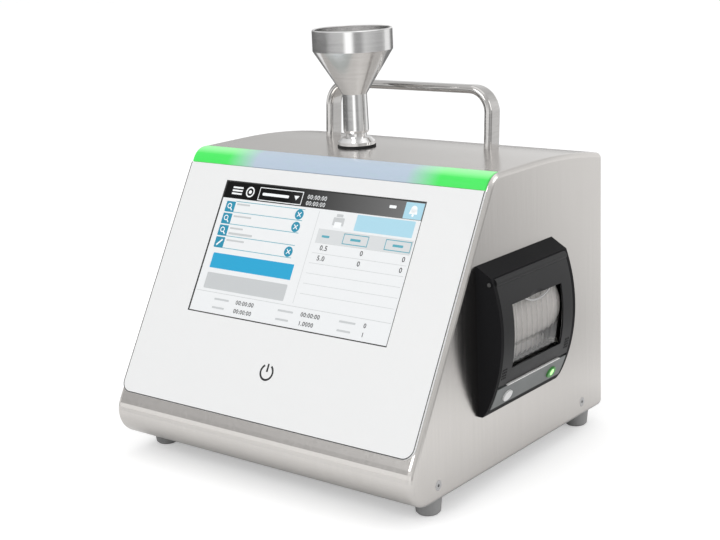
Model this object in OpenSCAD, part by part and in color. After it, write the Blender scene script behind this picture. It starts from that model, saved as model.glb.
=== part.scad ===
// Portable airborne particle counter: folded and welded cabinet with a sloping
// touch display, a top inlet with an isokinetic probe, a carry handle and a
// side printer. Millimetres, +Z up, the display faces -Y.
// Pieces are placed in the cabinet's own axes: x = 0 on its middle plane,
// y = 0 on its rear face and z = 0 on the floor under the feet.

/* [Cabinet] */
// Width over the side walls
body_w = 231; // [220:1:250]
// Depth from the rear face to the nose
body_d = 212; // [205:1:225]
// Height of the cabinet above the feet
body_h = 173; // [168:1:182]
// Slope of the front face from level, in degrees
front_slope = 60; // [58:0.5:62]
// Sheet thickness of the cabinet
sheet = 1.5; // [1.2:0.1:2]
// Radius of the bend at the lower front
nose_r = 17; // [14:0.5:20]
// Radius of the bend at the upper front
brow_r = 14; // [11:0.5:16]
// Radius of the crowned rear part of the top
crown_r = 440; // [380:5:600]
// Length of the crowned part, from the rear
crown_run = 80; // [70:1:90]
// Radius of the rounded rear corners
rear_r = 4; // [3.5:0.1:6]
// Radius of the ground edges along both sides
edge_r = 3; // [2.2:0.1:3.2]

/* [Base and feet] */
// Height of a foot
foot_h = 11; // [8:0.5:16]
// Diameter of a foot
foot_d = 16; // [13:0.5:18]
// Distance between the feet, side to side
foot_span_x = 208; // [200:1:209]
// Distance from the rear face to the rear feet
foot_rear = 15; // [12:0.5:18]
// Distance between the feet, front to back
foot_span_y = 166; // [156:1:170]
// Thickness of the base plate
base_t = 2; // [1.5:0.1:2.5]
// Height of the base's upturned flanges
flange_h = 14; // [12:0.5:18]
// Height of the side screws above the base
side_screw_z = 7.5; // [6:0.1:8.5]

/* [Front] */
// Distance from the upper front corner to the overlay, down the slope
overlay_top = 10.4; // [9.5:0.1:13]
// Length of the overlay down the slope
overlay_l = 155; // [140:1:157]
// Width of the overlay
overlay_w = 227.4; // [200:0.2:228]
// Thickness of the overlay
overlay_t = 1.5; // [1:0.1:2]
// Radius of the overlay's lower corners
overlay_r = 7; // [4:0.5:12]
// Length of the display down the slope
display_l = 98; // [90:1:110]
// Width of the display
display_w = 166; // [155:1:180]
// Thickness of the display
display_t = 6; // [4:0.5:8]
// Distance from the overlay's top edge to the display
display_drop = 5; // [3:0.5:12]
// Wall of the light bar
bar_t = 5; // [4:0.1:6]
// Outer bend radius of the light bar
bar_r = 12; // [9:0.5:14]
// Length of the light bar on the top, behind the upper front corner
bar_run = 10; // [9:0.5:14]

/* [Handle] */
// Distance between the handle's legs, centre to centre
handle_span = 126; // [100:1:140]
// Height of the handle over the top
handle_h = 39; // [32:1:48]
// Width of the bar, front to back
handle_bar_w = 13; // [10:0.5:16]
// Thickness of the bar
handle_bar_t = 5.2; // [4.6:0.1:8]
// Outer bend radius of the handle
handle_bend_r = 17; // [12:0.5:24]
// Distance from the rear face to the handle
handle_y = 46; // [38:1:52]

/* [Inlet] */
// Inlet axis, left of the middle plane
inlet_x = 18; // [14:0.5:20]
// Distance from the upper front corner back to the inlet axis
inlet_back = 46.5; // [44:0.5:50]
// Diameter of the inlet flange
inlet_flange_d = 23.6; // [21:0.2:26]
// Outer diameter of the inlet nipple
nipple_d = 12; // [11:0.1:13]
// Bore of the sample path
sample_bore = 8; // [6:0.1:9]
// Diameter of the probe's rim
probe_rim_d = 50.7; // [42:0.1:56]
// Height of the probe's straight rim
probe_rim_h = 13.3; // [8:0.1:18]
// Height of the probe's cone
probe_cone_h = 27.7; // [20:0.1:36]
// Height of the probe's stem
probe_stem_h = 25; // [22:0.1:34]
// Diameter of the stem under the cone
probe_stem_top_d = 15.5; // [15:0.1:17]
// Diameter of the stem at its foot
probe_stem_d = 16.4; // [15.6:0.1:18]
// Wall of the probe
probe_wall = 1.6; // [1.2:0.1:2.2]

/* [Printer] */
// Distance from the rear face to the middle of the printer
printer_y = 104; // [100:1:108]
// Height of the middle of the printer above the floor
printer_z = 91.7; // [90:0.1:96]
// Width of the printer's bezel
bezel_w = 82; // [80:0.5:90]
// Height of the printer's bezel
bezel_h = 88.6; // [86:0.2:94]
// How far the printer door stands out from the side
printer_proud = 16; // [15:0.1:17]
// Radius of the door's curve
door_r = 99.2; // [92:0.2:108]
// Thickness of the bezel's cheeks
cheek_t = 2.5; // [2:0.1:3]
// Thickness of the door
door_t = 2.2; // [1.8:0.1:2.4]
// Width of the door's window
window_w = 54; // [48:0.5:57]
// Height of the door's window
window_h = 37.5; // [30:0.5:39]
// Diameter of the hinge pin
hinge_pin_d = 2.4; // [2:0.1:2.8]
// Depth of the paper bucket behind the side wall
bucket_d = 34; // [32.5:0.5:40]
// Diameter of the paper roll
roll_d = 40; // [30:0.5:40]
// Width of the paper
paper_w = 57; // [54:0.5:57]
// Diameter of the platen roller
platen_d = 9; // [8.4:0.1:9]
// Diameter of the platen shaft
platen_shaft_d = 3; // [2:0.1:3.4]
// Gear module
gear_module = 0.5; // [0.48:0.01:0.5]
// Teeth on the platen gear
platen_teeth = 18; // [16:1:18]
// Teeth on the idler gear
idler_teeth = 14; // [13:1:14]
// Teeth on the motor pinion
pinion_teeth = 12; // [11:1:12]
// Width of a key
key_w = 8.4; // [7:0.2:12]
// Height of a key
key_h = 6.8; // [4:0.2:7]
// Travel of a key
key_travel = 0.8; // [0.4:0.1:0.9]
// Distance between the two keys
key_span = 48.6; // [40:0.2:54]

/* [Rear] */
// Thickness of the rear panel
rear_t = 2; // [1.5:0.1:2.5]
// Width of the lip round the rear opening
rear_lip = 11.5; // [11:0.5:14]
// Thickness of the battery door
battery_door_t = 2; // [1.6:0.1:2.2]
// Width of a battery pack
pack_w = 100; // [90:1:101]
// Length of a battery pack
pack_l = 132; // [110:1:135]
// Height of a battery pack
pack_h = 21; // [18:0.5:22]
// Size of the cooling fan
fan_size = 50; // [40:1:52]
// Depth of the cooling fan
fan_depth = 15; // [10:0.5:20]

/* [Air path] */
// Width and depth of the optical sensor block
sensor_w = 52; // [44:1:54]
// Height of the optical sensor block
sensor_h = 44; // [36:1:46]
// Bend radius of the outlet tube
tube_bend_r = 14; // [12:0.5:15]
// Outer diameter of the tubes
tube_d = 14; // [12:0.5:15]
// Diameter of the blower housing
blower_d = 54; // [48:1:56]
// Width of the blower housing
blower_w = 28; // [22:1:30]
// Blades on the blower rotor
blower_blades = 20; // [12:1:28]

/* [Fits] */
// Gap round pieces that are laid in an opening
lay_gap = 0.3; // [0.2:0.05:0.4]
// Radial clearance of a shaft that turns
run_gap = 0.05; // [0.02:0.01:0.1]
// Radial clearance of a shaft that is held
hold_gap = 0.02; // [0.01:0.01:0.05]
// Gap round a key
key_gap = 0.15; // [0.1:0.05:0.25]

/* [Hidden] */
$fn = 64;
eps = 0.01;

base_z = foot_h + base_t;
top_z = foot_h + body_h;
side_x = body_w / 2;
inner_x = side_x - sheet;

// The cabinet's side outline is a chain of arcs, each [y, z] centre and radius
nose_c = [nose_r - body_d, foot_h + nose_r];
front_normal = [-sin(front_slope), cos(front_slope)];
nose_end = nose_c + nose_r * front_normal;
// Upper front corner, where the slope's plane meets the top's plane
corner_y = nose_end[0] + (top_z - nose_end[1]) / tan(front_slope);
inlet_y = round(-corner_y - inlet_back);
brow_c = [corner_y + brow_r * tan(front_slope / 2), top_z - brow_r];
crown_c = [-crown_run, top_z - crown_r];
rear_top_c = [-rear_r, crown_c[1] + sqrt(pow(crown_r - rear_r, 2) - pow(crown_run - rear_r, 2))];
rear_low_c = [-rear_r, foot_h + rear_r];
crown_end = atan2(rear_top_c[1] - crown_c[1], rear_top_c[0] - crown_c[0]);
// Height of the crowned top at a distance from the rear
function crown_z(y) = crown_c[1] + sqrt(crown_r * crown_r - pow(crown_run - y, 2));

// Whole part: its box runs from the nose to the battery hinge, and from the
// left side to the printer door
hinge_r = 2.2;
battery_hinge_y = hinge_r - sheet + 0.1;
rear_reach = battery_hinge_y + hinge_r;
origin_x = printer_proud / 2;
origin_y = (rear_reach - body_d) / 2;

// Feet and screws
foot_x = foot_span_x / 2;
foot_y = [-foot_rear, -foot_rear - foot_span_y];
boss_r = 3;
foot_screw_r = 1.5;
foot_recess = 5;
flange_gap = 0.2;
flange_x = inner_x - flange_gap;
flange_ends = [-body_d + nose_r + 5, -8];
side_screw_y = [flange_ends[0] - 1.5 + 5, -27];
screw_r = 1.5;
screw_head_r = 2.9;

// Front
window_margin = 1;
display_top = overlay_top + display_drop;
board_gap = 12;
board_t = 1.6;
bar_half = side_x - 2.5;
bar_gap = 0.4;
proud_corner_y = corner_y - overlay_t / sin(front_slope);
bar_c = [proud_corner_y + bar_r * tan(front_slope / 2), top_z - bar_r];
bar_rear_y = proud_corner_y + bar_run;
// Down the slope from the proud corner to the bar's lower edge
bar_drop = overlay_top - overlay_t * tan(90 - front_slope) - bar_gap;
bar_low = [proud_corner_y - bar_drop * cos(front_slope), top_z - bar_drop * sin(front_slope)];
tongue = 4;
led_count = 16;

// Handle, square to the crown where it stands
handle_lean = asin((crown_run - handle_y) / crown_r);
handle_screw_r = 1.5;
handle_screw_grip = 14;

// Inlet stack, from the top sheet upwards
gasket_t = 1;
flange_rim_h = 2.5;
flange_chamfer_h = 2.5;
neck_h = 2.5;
flange_z = top_z + gasket_t;
probe_z = flange_z + flange_rim_h + flange_chamfer_h + neck_h;
nipple_h = 14;
socket_d = nipple_d + 0.2;
inlet_tail = 14;
nut_t = 5;
nut_gap = 0.25;
cone_z = probe_z + probe_stem_h;
rim_z = cone_z + probe_cone_h;
probe_top = rim_z + probe_rim_h;
ring_d = 1.4;
ring_sink = ring_d - 0.05;
ring_z = probe_z + 7;

// Printer, in its own axes: x' = 0 on the side wall, out is +x'
arc_z = 4.4;
arc_x = printer_proud - door_r;
function arc_out(z) = arc_x + sqrt(door_r * door_r - pow(z - arc_z, 2));
bezel_slope = 0.6;
bay_half = bezel_w / 2 - cheek_t;
hinge_z = bezel_h / 2 - 9.6;
hinge_x = arc_out(hinge_z) - 2.2;
knuckle_r = 3;
door_low = -bezel_h / 2 + 18.6;
sill_z = door_low - 1.6;
bucket_half = bay_half - 2;
bucket_top = bezel_h / 2 - 6.3;
bucket_low = -bucket_top;
bucket_wall = 1.2;
well_gap = 1.5;
roll_x = -7.6;
roll_z = 7.8;
roll_gap = 1;
well_half = paper_w / 2 + roll_gap;
core_d = 12;
core_bore = 8;
window_z = 2.1;
window_lip = 2;
scoop_r = 50;
scoop_depth = 1.4;
scoop_drop = 7;
window_t = 1.2;
platen_x = 4.7;
platen_z = door_low + 5;
platen_half = 29;
ear_t = 1.6;
ear_y = platen_half + 0.5;
gear_y = ear_y + ear_t + 0.5;
gear_t = 3;
mesh_gap = 0.08;
idler_x = platen_x - gear_module * (platen_teeth + idler_teeth) / 2 - mesh_gap;
pinion_x = idler_x - gear_module * (idler_teeth + pinion_teeth) / 2 - mesh_gap;
idler_pin_r = 1;
pinion_shaft_r = 0.75;
motor_r = 6;
motor_l = 19;
motor_y = gear_y - 0.4;
head_t = 3.5;
head_x = -0.3;
head_h = 14;
head_half = 27;
paper_t = 0.3;
paper_x = -0.1;
paper_proud = 1.2;
tear_t = 0.6;
tear_pitch = 1.5;
key_bar_t = 2;
key_bar_half = bay_half - 0.5;
key_z = -bezel_h / 2 + 9.9;
key_bar_reach = 5.8;
key_lift = 1.2;
key_depth = 2.2;
key_pocket = 6.5;
key_pocket_half = 4.2;
key_board_t = 1;
switch_h = key_pocket - key_board_t - key_depth - key_travel - 0.3;

// Rear
rear_open_x = side_x - rear_lip;
rear_open_top = rear_top_c[1] - 12;
rear_panel_y = -sheet - rear_t;
rear_panel_x = inner_x - 1;
rear_panel_top = rear_open_top + 8;
rear_screw_x = (rear_open_x + rear_panel_x) / 2;
rear_screw_z = [40, 95, 150];

// Battery bay under the shelf
bay_wall = 1.2;
bay_inset = 14;
pack_gap = 0.5;
bay_x0 = max(bay_inset - inner_x, boss_r + 1 - foot_x);
bay_x1 = bay_x0 + pack_w + 2 * (bay_wall + pack_gap);
bay_top = base_z + 2 * pack_h + 3 * pack_gap + 2 * bay_wall;
bay_y0 = rear_panel_y - pack_l - 6;
door_edge = 3;
battery_hinge_x = bay_x0 - 1.2;
battery_door_x1 = bay_x1 + door_edge;
battery_door_z0 = base_z + 1;
battery_door_z1 = bay_top + 1;
battery_pin_r = 1;
knuckle_l = 10;
shelf_t = 1.5;
shelf_z = bay_top + 2;
shelf_top = shelf_z + shelf_t;
shelf_x0 = battery_hinge_x - 5;
shelf_x1 = bay_x1 + 0.6 + shelf_t;
shelf_y = [-138, -22];

// Air path
blower_x = -77;
blower_c = [-inlet_y, shelf_top + blower_d / 2 + lay_gap];
sensor_z = blower_c[1] + tube_bend_r;
sensor_top = sensor_z + sensor_h;
blower_wall = 1.5;
eye_d = 24;
rotor_d = blower_d - 12;
rotor_hub_r = 9;
rotor_stub_r = 3;
rotor_stub_l = 8;
duct_h = 18;
filter_h = blower_d + 4;
filter_x = [blower_x - blower_d / 2, blower_x + blower_d / 2];
filter_y = [blower_c[0] + blower_d / 2 + 7, rear_panel_y];
filter_top = shelf_top + filter_h;
laser_d = 18;
laser_l = 34;
detector_d = 24;
detector_l = 16;
trap_d = 16;
trap_l = 9;
beam_z = sensor_z + sensor_h / 2;

// Electronics
fan_x = 35;
fan_z = 134;
fan_hub_d = 22;
fan_wall = 1.5;
main_board_x = [shelf_x1 + 1.5, side_x - 14];
main_board_y = [-172, -20];
main_board_z = base_z + 8;
jack_x = 92;
network_x = 66;
usb_x = 40;
port_gap = 0.4;
port_out = 1.2;

// ---------------------------------------------------------------- helpers

// Moves the cabinet's axes to the part's origin
module in_cabinet() translate([-origin_x, -origin_y, 0]) children();

// Block between two corners
module block(low, high) translate(low) cube(high - low);

// Extrudes a [y, z] outline from x0 to x1
module slab_x(x0, x1) translate([x0, 0, 0]) rotate([90, 0, 90]) linear_extrude(x1 - x0) children();

// Extrudes an [x, z] outline from y0 to y1
module slab_y(y0, y1) translate([0, y1, 0]) rotate([90, 0, 0]) linear_extrude(y1 - y0) children();

// Rods along x and y, from one end
module rod_x(x0, x1, r) translate([x0, 0, 0]) rotate([0, 90, 0]) cylinder(h = x1 - x0, r = r);
module rod_y(y0, y1, r) translate([0, y1, 0]) rotate([90, 0, 0]) cylinder(h = y1 - y0, r = r);

// Points on an arc, from angle a0 to a1
function arc(c, r, a0, a1, steps) =
    [for (i = [0:steps]) let (a = a0 + (a1 - a0) * i / steps) [c[0] + r * cos(a), c[1] + r * sin(a)]];

// Slot outline with round ends, length along the first axis
module slot(length, width) {
    square([length - width, width], center = true);
    for (side = [-1, 1]) translate([side * (length - width) / 2, 0]) circle(d = width);
}

// Side outline of the cabinet, moved inwards by inset
function side_outline(inset) = concat(
    arc(nose_c, nose_r - inset, 270, 90 + front_slope, 14),
    arc(brow_c, brow_r - inset, 90 + front_slope, 90, 10),
    arc(crown_c, crown_r - inset, 90, crown_end, 10),
    arc(rear_top_c, rear_r - inset, crown_end, 0, 6),
    arc(rear_low_c, rear_r - inset, 0, -90, 6));

// Outer form of the cabinet and base, with its long edges rounded
module outer_form() hull()
    for (side = [-1, 1], a = [0:22.5:90])
        translate([side * (side_x - edge_r + edge_r * sin(a)) - (side > 0 ? eps : 0), 0, 0])
            rotate([90, 0, 90]) linear_extrude(eps) polygon(side_outline(edge_r * (1 - cos(a))));

// Axes on the sloping front: y up the slope from the upper corner, z out of it
module on_front() translate([0, corner_y, top_z]) rotate([front_slope, 0, 0]) children();

// Axes on the side wall at the middle of the printer, +x out of the wall
module in_printer() translate([side_x, -printer_y, printer_z]) children();

// Axes on the door's curve at a height, +x out of the curve
module on_arc(z) translate([arc_x, 0, arc_z]) rotate([0, asin((arc_z - z) / door_r), 0])
    translate([door_r, 0, 0]) children();

// Flat board with chips; chips are [x, y, length, width, height]
module circuit_board(size, chips) {
    cube([size[0], size[1], board_t]);
    for (c = chips) translate([c[0], c[1], board_t]) cube([c[2], c[3], c[4]]);
}

// Gear outline with straight-flanked teeth, slimmed for backlash; a tooth stands at turn
module gear_outline(teeth, turn) {
    pitch_r = gear_module * teeth / 2;
    root_r = pitch_r - 1.15 * gear_module;
    tip_r = pitch_r + 0.85 * gear_module;
    // half-widths of a tooth, as shares of its pitch
    flank = [[root_r, -0.34], [pitch_r, -0.21], [tip_r, -0.09],
        [tip_r, 0.09], [pitch_r, 0.21], [root_r, 0.34]];
    polygon([for (i = [0:teeth - 1], p = flank)
        let (a = turn + (i + p[1]) * 360 / teeth) [p[0] * cos(a), p[0] * sin(a)]]);
}

// ---------------------------------------------------------------- cabinet

// Cross-section of the light bar, or of the notch that takes it
module bar_section(gap) {
    inner_r = bar_r - bar_t - gap;
    tangent = [cos(front_slope), sin(front_slope)];
    polygon(concat(
        [[bar_rear_y + gap, top_z - bar_t - gap], [bar_rear_y + gap, top_z + 5 * gap]],
        arc(bar_c, bar_r + 5 * gap, 90, 90 + front_slope, 8),
        [bar_low + 5 * gap * front_normal - gap * tangent,
            bar_low - (bar_t + gap) * front_normal - gap * tangent],
        arc(bar_c, inner_r, 90 + front_slope, 90, 8)));
}

// Right wall cut-out for the printer's bucket
module printer_cutout() in_printer()
    block([-sheet - 1, -bucket_half - lay_gap, bucket_low - lay_gap],
        [1, bucket_half + lay_gap, bucket_top + lay_gap]);

module side_screw_places() for (side = [-1, 1], y = side_screw_y)
    translate([side * side_x, y, base_z + side_screw_z]) rotate([0, side > 0 ? -90 : 90, 0]) children();

module rear_screw_places() for (side = [-1, 1], z = rear_screw_z)
    translate([side * rear_screw_x, 0, z]) rotate([90, 0, 0]) children();

module handle_axes() translate([0, -handle_y, crown_z(handle_y)]) rotate([-handle_lean, 0, 0]) children();

module inlet_axes() translate([-inlet_x, -inlet_y, 0]) children();

module cabinet_shell() color([0.72, 0.71, 0.69]) in_cabinet() difference() {
    outer_form();
    slab_x(-inner_x, inner_x) polygon(side_outline(sheet));
    block([-side_x - 1, -body_d - 1, 0], [side_x + 1, rear_r, base_z]);
    // notch for the light bar
    slab_x(-bar_half - 0.15, bar_half + 0.15) bar_section(0.15);
    // window behind the overlay
    on_front() translate([-display_w / 2 - window_margin, -display_top - display_l - window_margin, -10])
        cube([display_w + 2 * window_margin, display_l + 2 * window_margin, 20]);
    printer_cutout();
    // rear opening, closed by the rear panel
    block([-rear_open_x, -sheet - 1, foot_h], [rear_open_x, 1, rear_open_top]);
    side_screw_places() {
        translate([0, 0, -1]) cylinder(h = sheet + 2, r = screw_r + 0.2);
        translate([0, 0, -eps]) cylinder(h = sheet, r1 = screw_head_r + 0.1, r2 = screw_r + 0.1);
    }
    rear_screw_places() translate([0, 0, -1]) cylinder(h = sheet + 2, r = screw_r + 0.2);
    handle_axes() for (side = [-1, 1]) translate([side * handle_span / 2, 0, -10])
        cylinder(h = 20, r = handle_screw_r + 0.2);
    inlet_axes() translate([0, 0, top_z - 10]) cylinder(h = 20, r = nipple_d / 2 + 0.2);
}

module base_pan() color([0.68, 0.67, 0.65]) in_cabinet() difference() {
    union() {
        intersection() {
            outer_form();
            block([-side_x, -body_d, 0], [side_x, 0, base_z]);
        }
        for (side = [-1, 1]) block([side > 0 ? flange_x - sheet : -flange_x, flange_ends[0], base_z - eps],
            [side > 0 ? flange_x : sheet - flange_x, flange_ends[1], base_z + flange_h]);
        for (side = [-1, 1], y = foot_y) translate([side * foot_x, y, base_z - eps])
            cylinder(h = 2.5, r = boss_r);
    }
    for (side = [-1, 1], y = foot_y) translate([side * foot_x, y, 0])
        cylinder(h = base_z + 5, r = foot_screw_r + hold_gap);
    side_screw_places() cylinder(h = 8, r = screw_r + hold_gap);
    // vent slots in the floor, under the main board
    for (i = [0:6]) translate([main_board_x[0] + 30 + i * 7, -96, 0]) linear_extrude(base_z + 1)
        rotate(90) slot(40, 3);
}

module feet() color([0.45, 0.45, 0.46]) in_cabinet() for (side = [-1, 1], y = foot_y)
    translate([side * foot_x, y, 0]) rotate_extrude() polygon([
        [foot_screw_r + 0.2, foot_recess], [foot_screw_r + 0.2, foot_h], [foot_d / 2, foot_h],
        [foot_d / 2, foot_h - 2], [foot_d / 2 - 0.8, 1.2], [foot_d / 2 - 2, 0], [4.2, 0],
        [4.2, foot_recess]]);

module foot_screws() color([0.75, 0.75, 0.76]) in_cabinet() for (side = [-1, 1], y = foot_y)
    translate([side * foot_x, y, foot_recess]) {
        translate([0, 0, -2.4]) difference() {
            cylinder(h = 2.4, r = 3);
            translate([0, 0, -1]) cylinder(h = 2.2, r = 1.2, $fn = 6);
        }
        cylinder(h = base_z - foot_recess + 2, r = foot_screw_r);
    }

module side_screws() color([0.62, 0.62, 0.63]) in_cabinet() side_screw_places() difference() {
    union() {
        cylinder(h = sheet, r1 = screw_head_r, r2 = screw_r);
        translate([0, 0, sheet - eps]) cylinder(h = 4.5, r = screw_r);
    }
    translate([0, 0, -eps]) cylinder(h = 1, r = 1, $fn = 6);
}

module rear_screws() color([0.62, 0.62, 0.63]) in_cabinet() rear_screw_places() difference() {
    union() {
        translate([0, 0, -1.2]) cylinder(h = 1.2, r = screw_head_r);
        translate([0, 0, -eps]) cylinder(h = sheet + rear_t + 1.5, r = screw_r);
    }
    translate([0, 0, -1.2 - eps]) cylinder(h = 0.8, r = 1, $fn = 6);
}

// ---------------------------------------------------------------- front

module front_overlay() color([0.93, 0.93, 0.93]) in_cabinet() on_front()
    translate([0, -overlay_top, 0]) linear_extrude(overlay_t) {
        translate([-overlay_w / 2, overlay_r - overlay_l]) square([overlay_w, overlay_l - overlay_r]);
        translate([overlay_r - overlay_w / 2, -overlay_l])
            square([overlay_w - 2 * overlay_r, overlay_l]);
        for (side = [-1, 1]) translate([side * (overlay_w / 2 - overlay_r), overlay_r - overlay_l])
            circle(r = overlay_r);
    }

module display_module() color([0.1, 0.1, 0.11]) in_cabinet() on_front()
    translate([-display_w / 2, -display_top - display_l, -display_t]) {
        cube([display_w, display_l, display_t]);
        for (x = [20, display_w - 20], y = [12, display_l - 12]) translate([x, y, -board_gap])
            cylinder(h = board_gap + eps, r = 2.5);
    }

module display_board() color([0.1, 0.35, 0.2]) in_cabinet() on_front()
    translate([-display_w / 2 + 12, -display_top - display_l + 6, -display_t - board_gap])
        mirror([0, 0, 1]) circuit_board([display_w - 24, display_l - 12],
            [[20, 20, 22, 22, 2], [60, 30, 30, 16, 3], [110, 12, 12, 40, 5], [50, 66, 40, 10, 4]]);

module light_bar() color([0.8, 0.88, 0.95]) in_cabinet() {
    slab_x(-bar_half, bar_half) bar_section(0);
    // tongue under the top sheet
    block([-bar_half, bar_rear_y - eps, top_z - bar_t], [bar_half, bar_rear_y + tongue,
        top_z - sheet - 0.1]);
}

module light_board() color([0.9, 0.92, 0.9]) in_cabinet() {
    board_w = tongue + 2;
    z = top_z - bar_t - board_t - 1;
    block([-bar_half + 6, bar_rear_y - 2, z], [bar_half - 6, bar_rear_y - 2 + board_w, z + board_t]);
    for (i = [0:led_count - 1]) {
        x = -bar_half + 14 + i * (2 * bar_half - 28) / (led_count - 1);
        block([x - 1.5, bar_rear_y - 1.5, z + board_t - eps], [x + 1.5, bar_rear_y + 1.5,
            z + board_t + 1]);
    }
}

// ---------------------------------------------------------------- handle

module carry_handle() color([0.78, 0.78, 0.77]) in_cabinet() handle_axes() {
    leg_x = handle_span / 2;
    bend_r = handle_bend_r - handle_bar_t / 2;
    bar_z = handle_h - handle_bar_t / 2;
    difference() {
        union() {
            for (side = [-1, 1]) {
                translate([side * leg_x, 0, 0]) linear_extrude(bar_z - bend_r)
                    rotate(90) slot(handle_bar_w, handle_bar_t);
                translate([side * (leg_x - bend_r), 0, bar_z - bend_r])
                    rotate([90, side > 0 ? 0 : -90, 0]) rotate_extrude(angle = 90)
                        translate([bend_r, 0]) rotate(90) slot(handle_bar_w, handle_bar_t);
            }
            translate([-leg_x + bend_r, 0, bar_z]) rotate([90, 0, 90])
                linear_extrude(2 * (leg_x - bend_r)) slot(handle_bar_w, handle_bar_t);
        }
        for (side = [-1, 1]) translate([side * leg_x, 0, -1])
            cylinder(h = handle_screw_grip + 1, r = handle_screw_r + hold_gap);
    }
}

module handle_screws() color([0.6, 0.6, 0.62]) in_cabinet() handle_axes()
    for (side = [-1, 1]) translate([side * handle_span / 2, 0, -sheet - 0.1]) {
        translate([0, 0, -1]) cylinder(h = 1, r = 4.5);
        translate([0, 0, -4]) cylinder(h = 3 + eps, r = 2.75);
        cylinder(h = handle_screw_grip - 1, r = handle_screw_r);
    }

// ---------------------------------------------------------------- inlet

module inlet_fitting() color([0.8, 0.8, 0.8]) in_cabinet() inlet_axes() {
    flange_r = inlet_flange_d / 2;
    nipple_r = nipple_d / 2;
    chamfer_z = flange_z + flange_rim_h;
    rotate_extrude() polygon([
        [sample_bore / 2, top_z - inlet_tail], [nipple_r, top_z - inlet_tail], [nipple_r, flange_z],
        [flange_r - 0.5, flange_z], [flange_r, flange_z + 0.5], [flange_r, chamfer_z],
        [flange_r - flange_chamfer_h, chamfer_z + flange_chamfer_h],
        [nipple_r + 0.7, chamfer_z + flange_chamfer_h + 0.6], [nipple_r + 0.7, probe_z],
        [nipple_r, probe_z], [nipple_r, ring_z - ring_d / 2 - 0.1],
        [nipple_r - ring_sink, ring_z - ring_d / 2 - 0.1],
        [nipple_r - ring_sink, ring_z + ring_d / 2 + 0.1], [nipple_r, ring_z + ring_d / 2 + 0.1],
        [nipple_r, probe_z + nipple_h - 1], [nipple_r - 1, probe_z + nipple_h],
        [sample_bore / 2, probe_z + nipple_h]]);
}

module inlet_gasket() color([0.08, 0.08, 0.08]) in_cabinet() inlet_axes()
    translate([0, 0, top_z]) difference() {
        cylinder(h = gasket_t, d = inlet_flange_d + 1);
        translate([0, 0, -1]) cylinder(h = gasket_t + 2, r = nipple_d / 2 + hold_gap);
    }

module inlet_nut() color([0.7, 0.68, 0.6]) in_cabinet() inlet_axes()
    translate([0, 0, top_z - sheet - nut_t - nut_gap]) difference() {
        cylinder(h = nut_t, d = nipple_d + 8, $fn = 6);
        translate([0, 0, -1]) cylinder(h = nut_t + 2, r = nipple_d / 2 + hold_gap);
    }

module isokinetic_probe() color([0.82, 0.82, 0.82]) in_cabinet() inlet_axes() {
    stem_r = probe_stem_d / 2;
    rim_r = probe_rim_d / 2;
    rotate_extrude() polygon([
        [socket_d / 2, probe_z + 0.1], [stem_r - 1.4, probe_z + 0.1], [stem_r - 0.4, probe_z + 0.7],
        [stem_r, probe_z + 2], [probe_stem_top_d / 2, cone_z], [rim_r, rim_z],
        [rim_r, probe_top - 0.6], [rim_r - 0.5, probe_top], [rim_r - probe_wall + 0.3, probe_top],
        [rim_r - probe_wall, probe_top - 0.4], [rim_r - probe_wall, rim_z + 0.6],
        [sample_bore / 2, cone_z + 0.4], [sample_bore / 2, probe_z + nipple_h + 1],
        [socket_d / 2, probe_z + nipple_h + 1]]);
}

module probe_o_ring() color([0.1, 0.1, 0.1]) in_cabinet() inlet_axes()
    translate([0, 0, ring_z]) rotate_extrude()
        translate([(nipple_d - ring_d) / 2 + 0.05, 0]) circle(d = ring_d);

module inlet_tube() color([0.75, 0.78, 0.8]) in_cabinet() inlet_axes() difference() {
    translate([0, 0, sensor_top]) cylinder(h = top_z - sheet - nut_t - nut_gap - lay_gap - sensor_top, d = tube_d + 1);
    translate([0, 0, sensor_top - 1]) cylinder(h = 60, r = nipple_d / 2 + hold_gap);
}

// ---------------------------------------------------------------- printer

// D-shaped side view of the bezel, in [x', z'] of the printer
module bezel_outline() intersection() {
    translate([arc_x, arc_z]) circle(r = door_r, $fn = 128);
    polygon([[0, -bezel_h / 2], [2.4, -bezel_h / 2], [5, -bezel_h / 2 + 3.5],
        [2 * printer_proud, bezel_h / 2 - 2 * printer_proud], [bezel_h / 2, bezel_h / 2 - 20],
        [10, bezel_h / 2 - 10 * bezel_slope], [0, bezel_h / 2]]);
}

// Ring sector of the door's curve between two heights, in [x', z']
module curved_strip(z0, z1, depth0, depth1) intersection() {
    translate([arc_x, arc_z]) difference() {
        circle(r = door_r - depth0, $fn = 128);
        circle(r = door_r - depth1, $fn = 128);
    }
    translate([0, z0]) square([2 * printer_proud, z1 - z0]);
}

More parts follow.
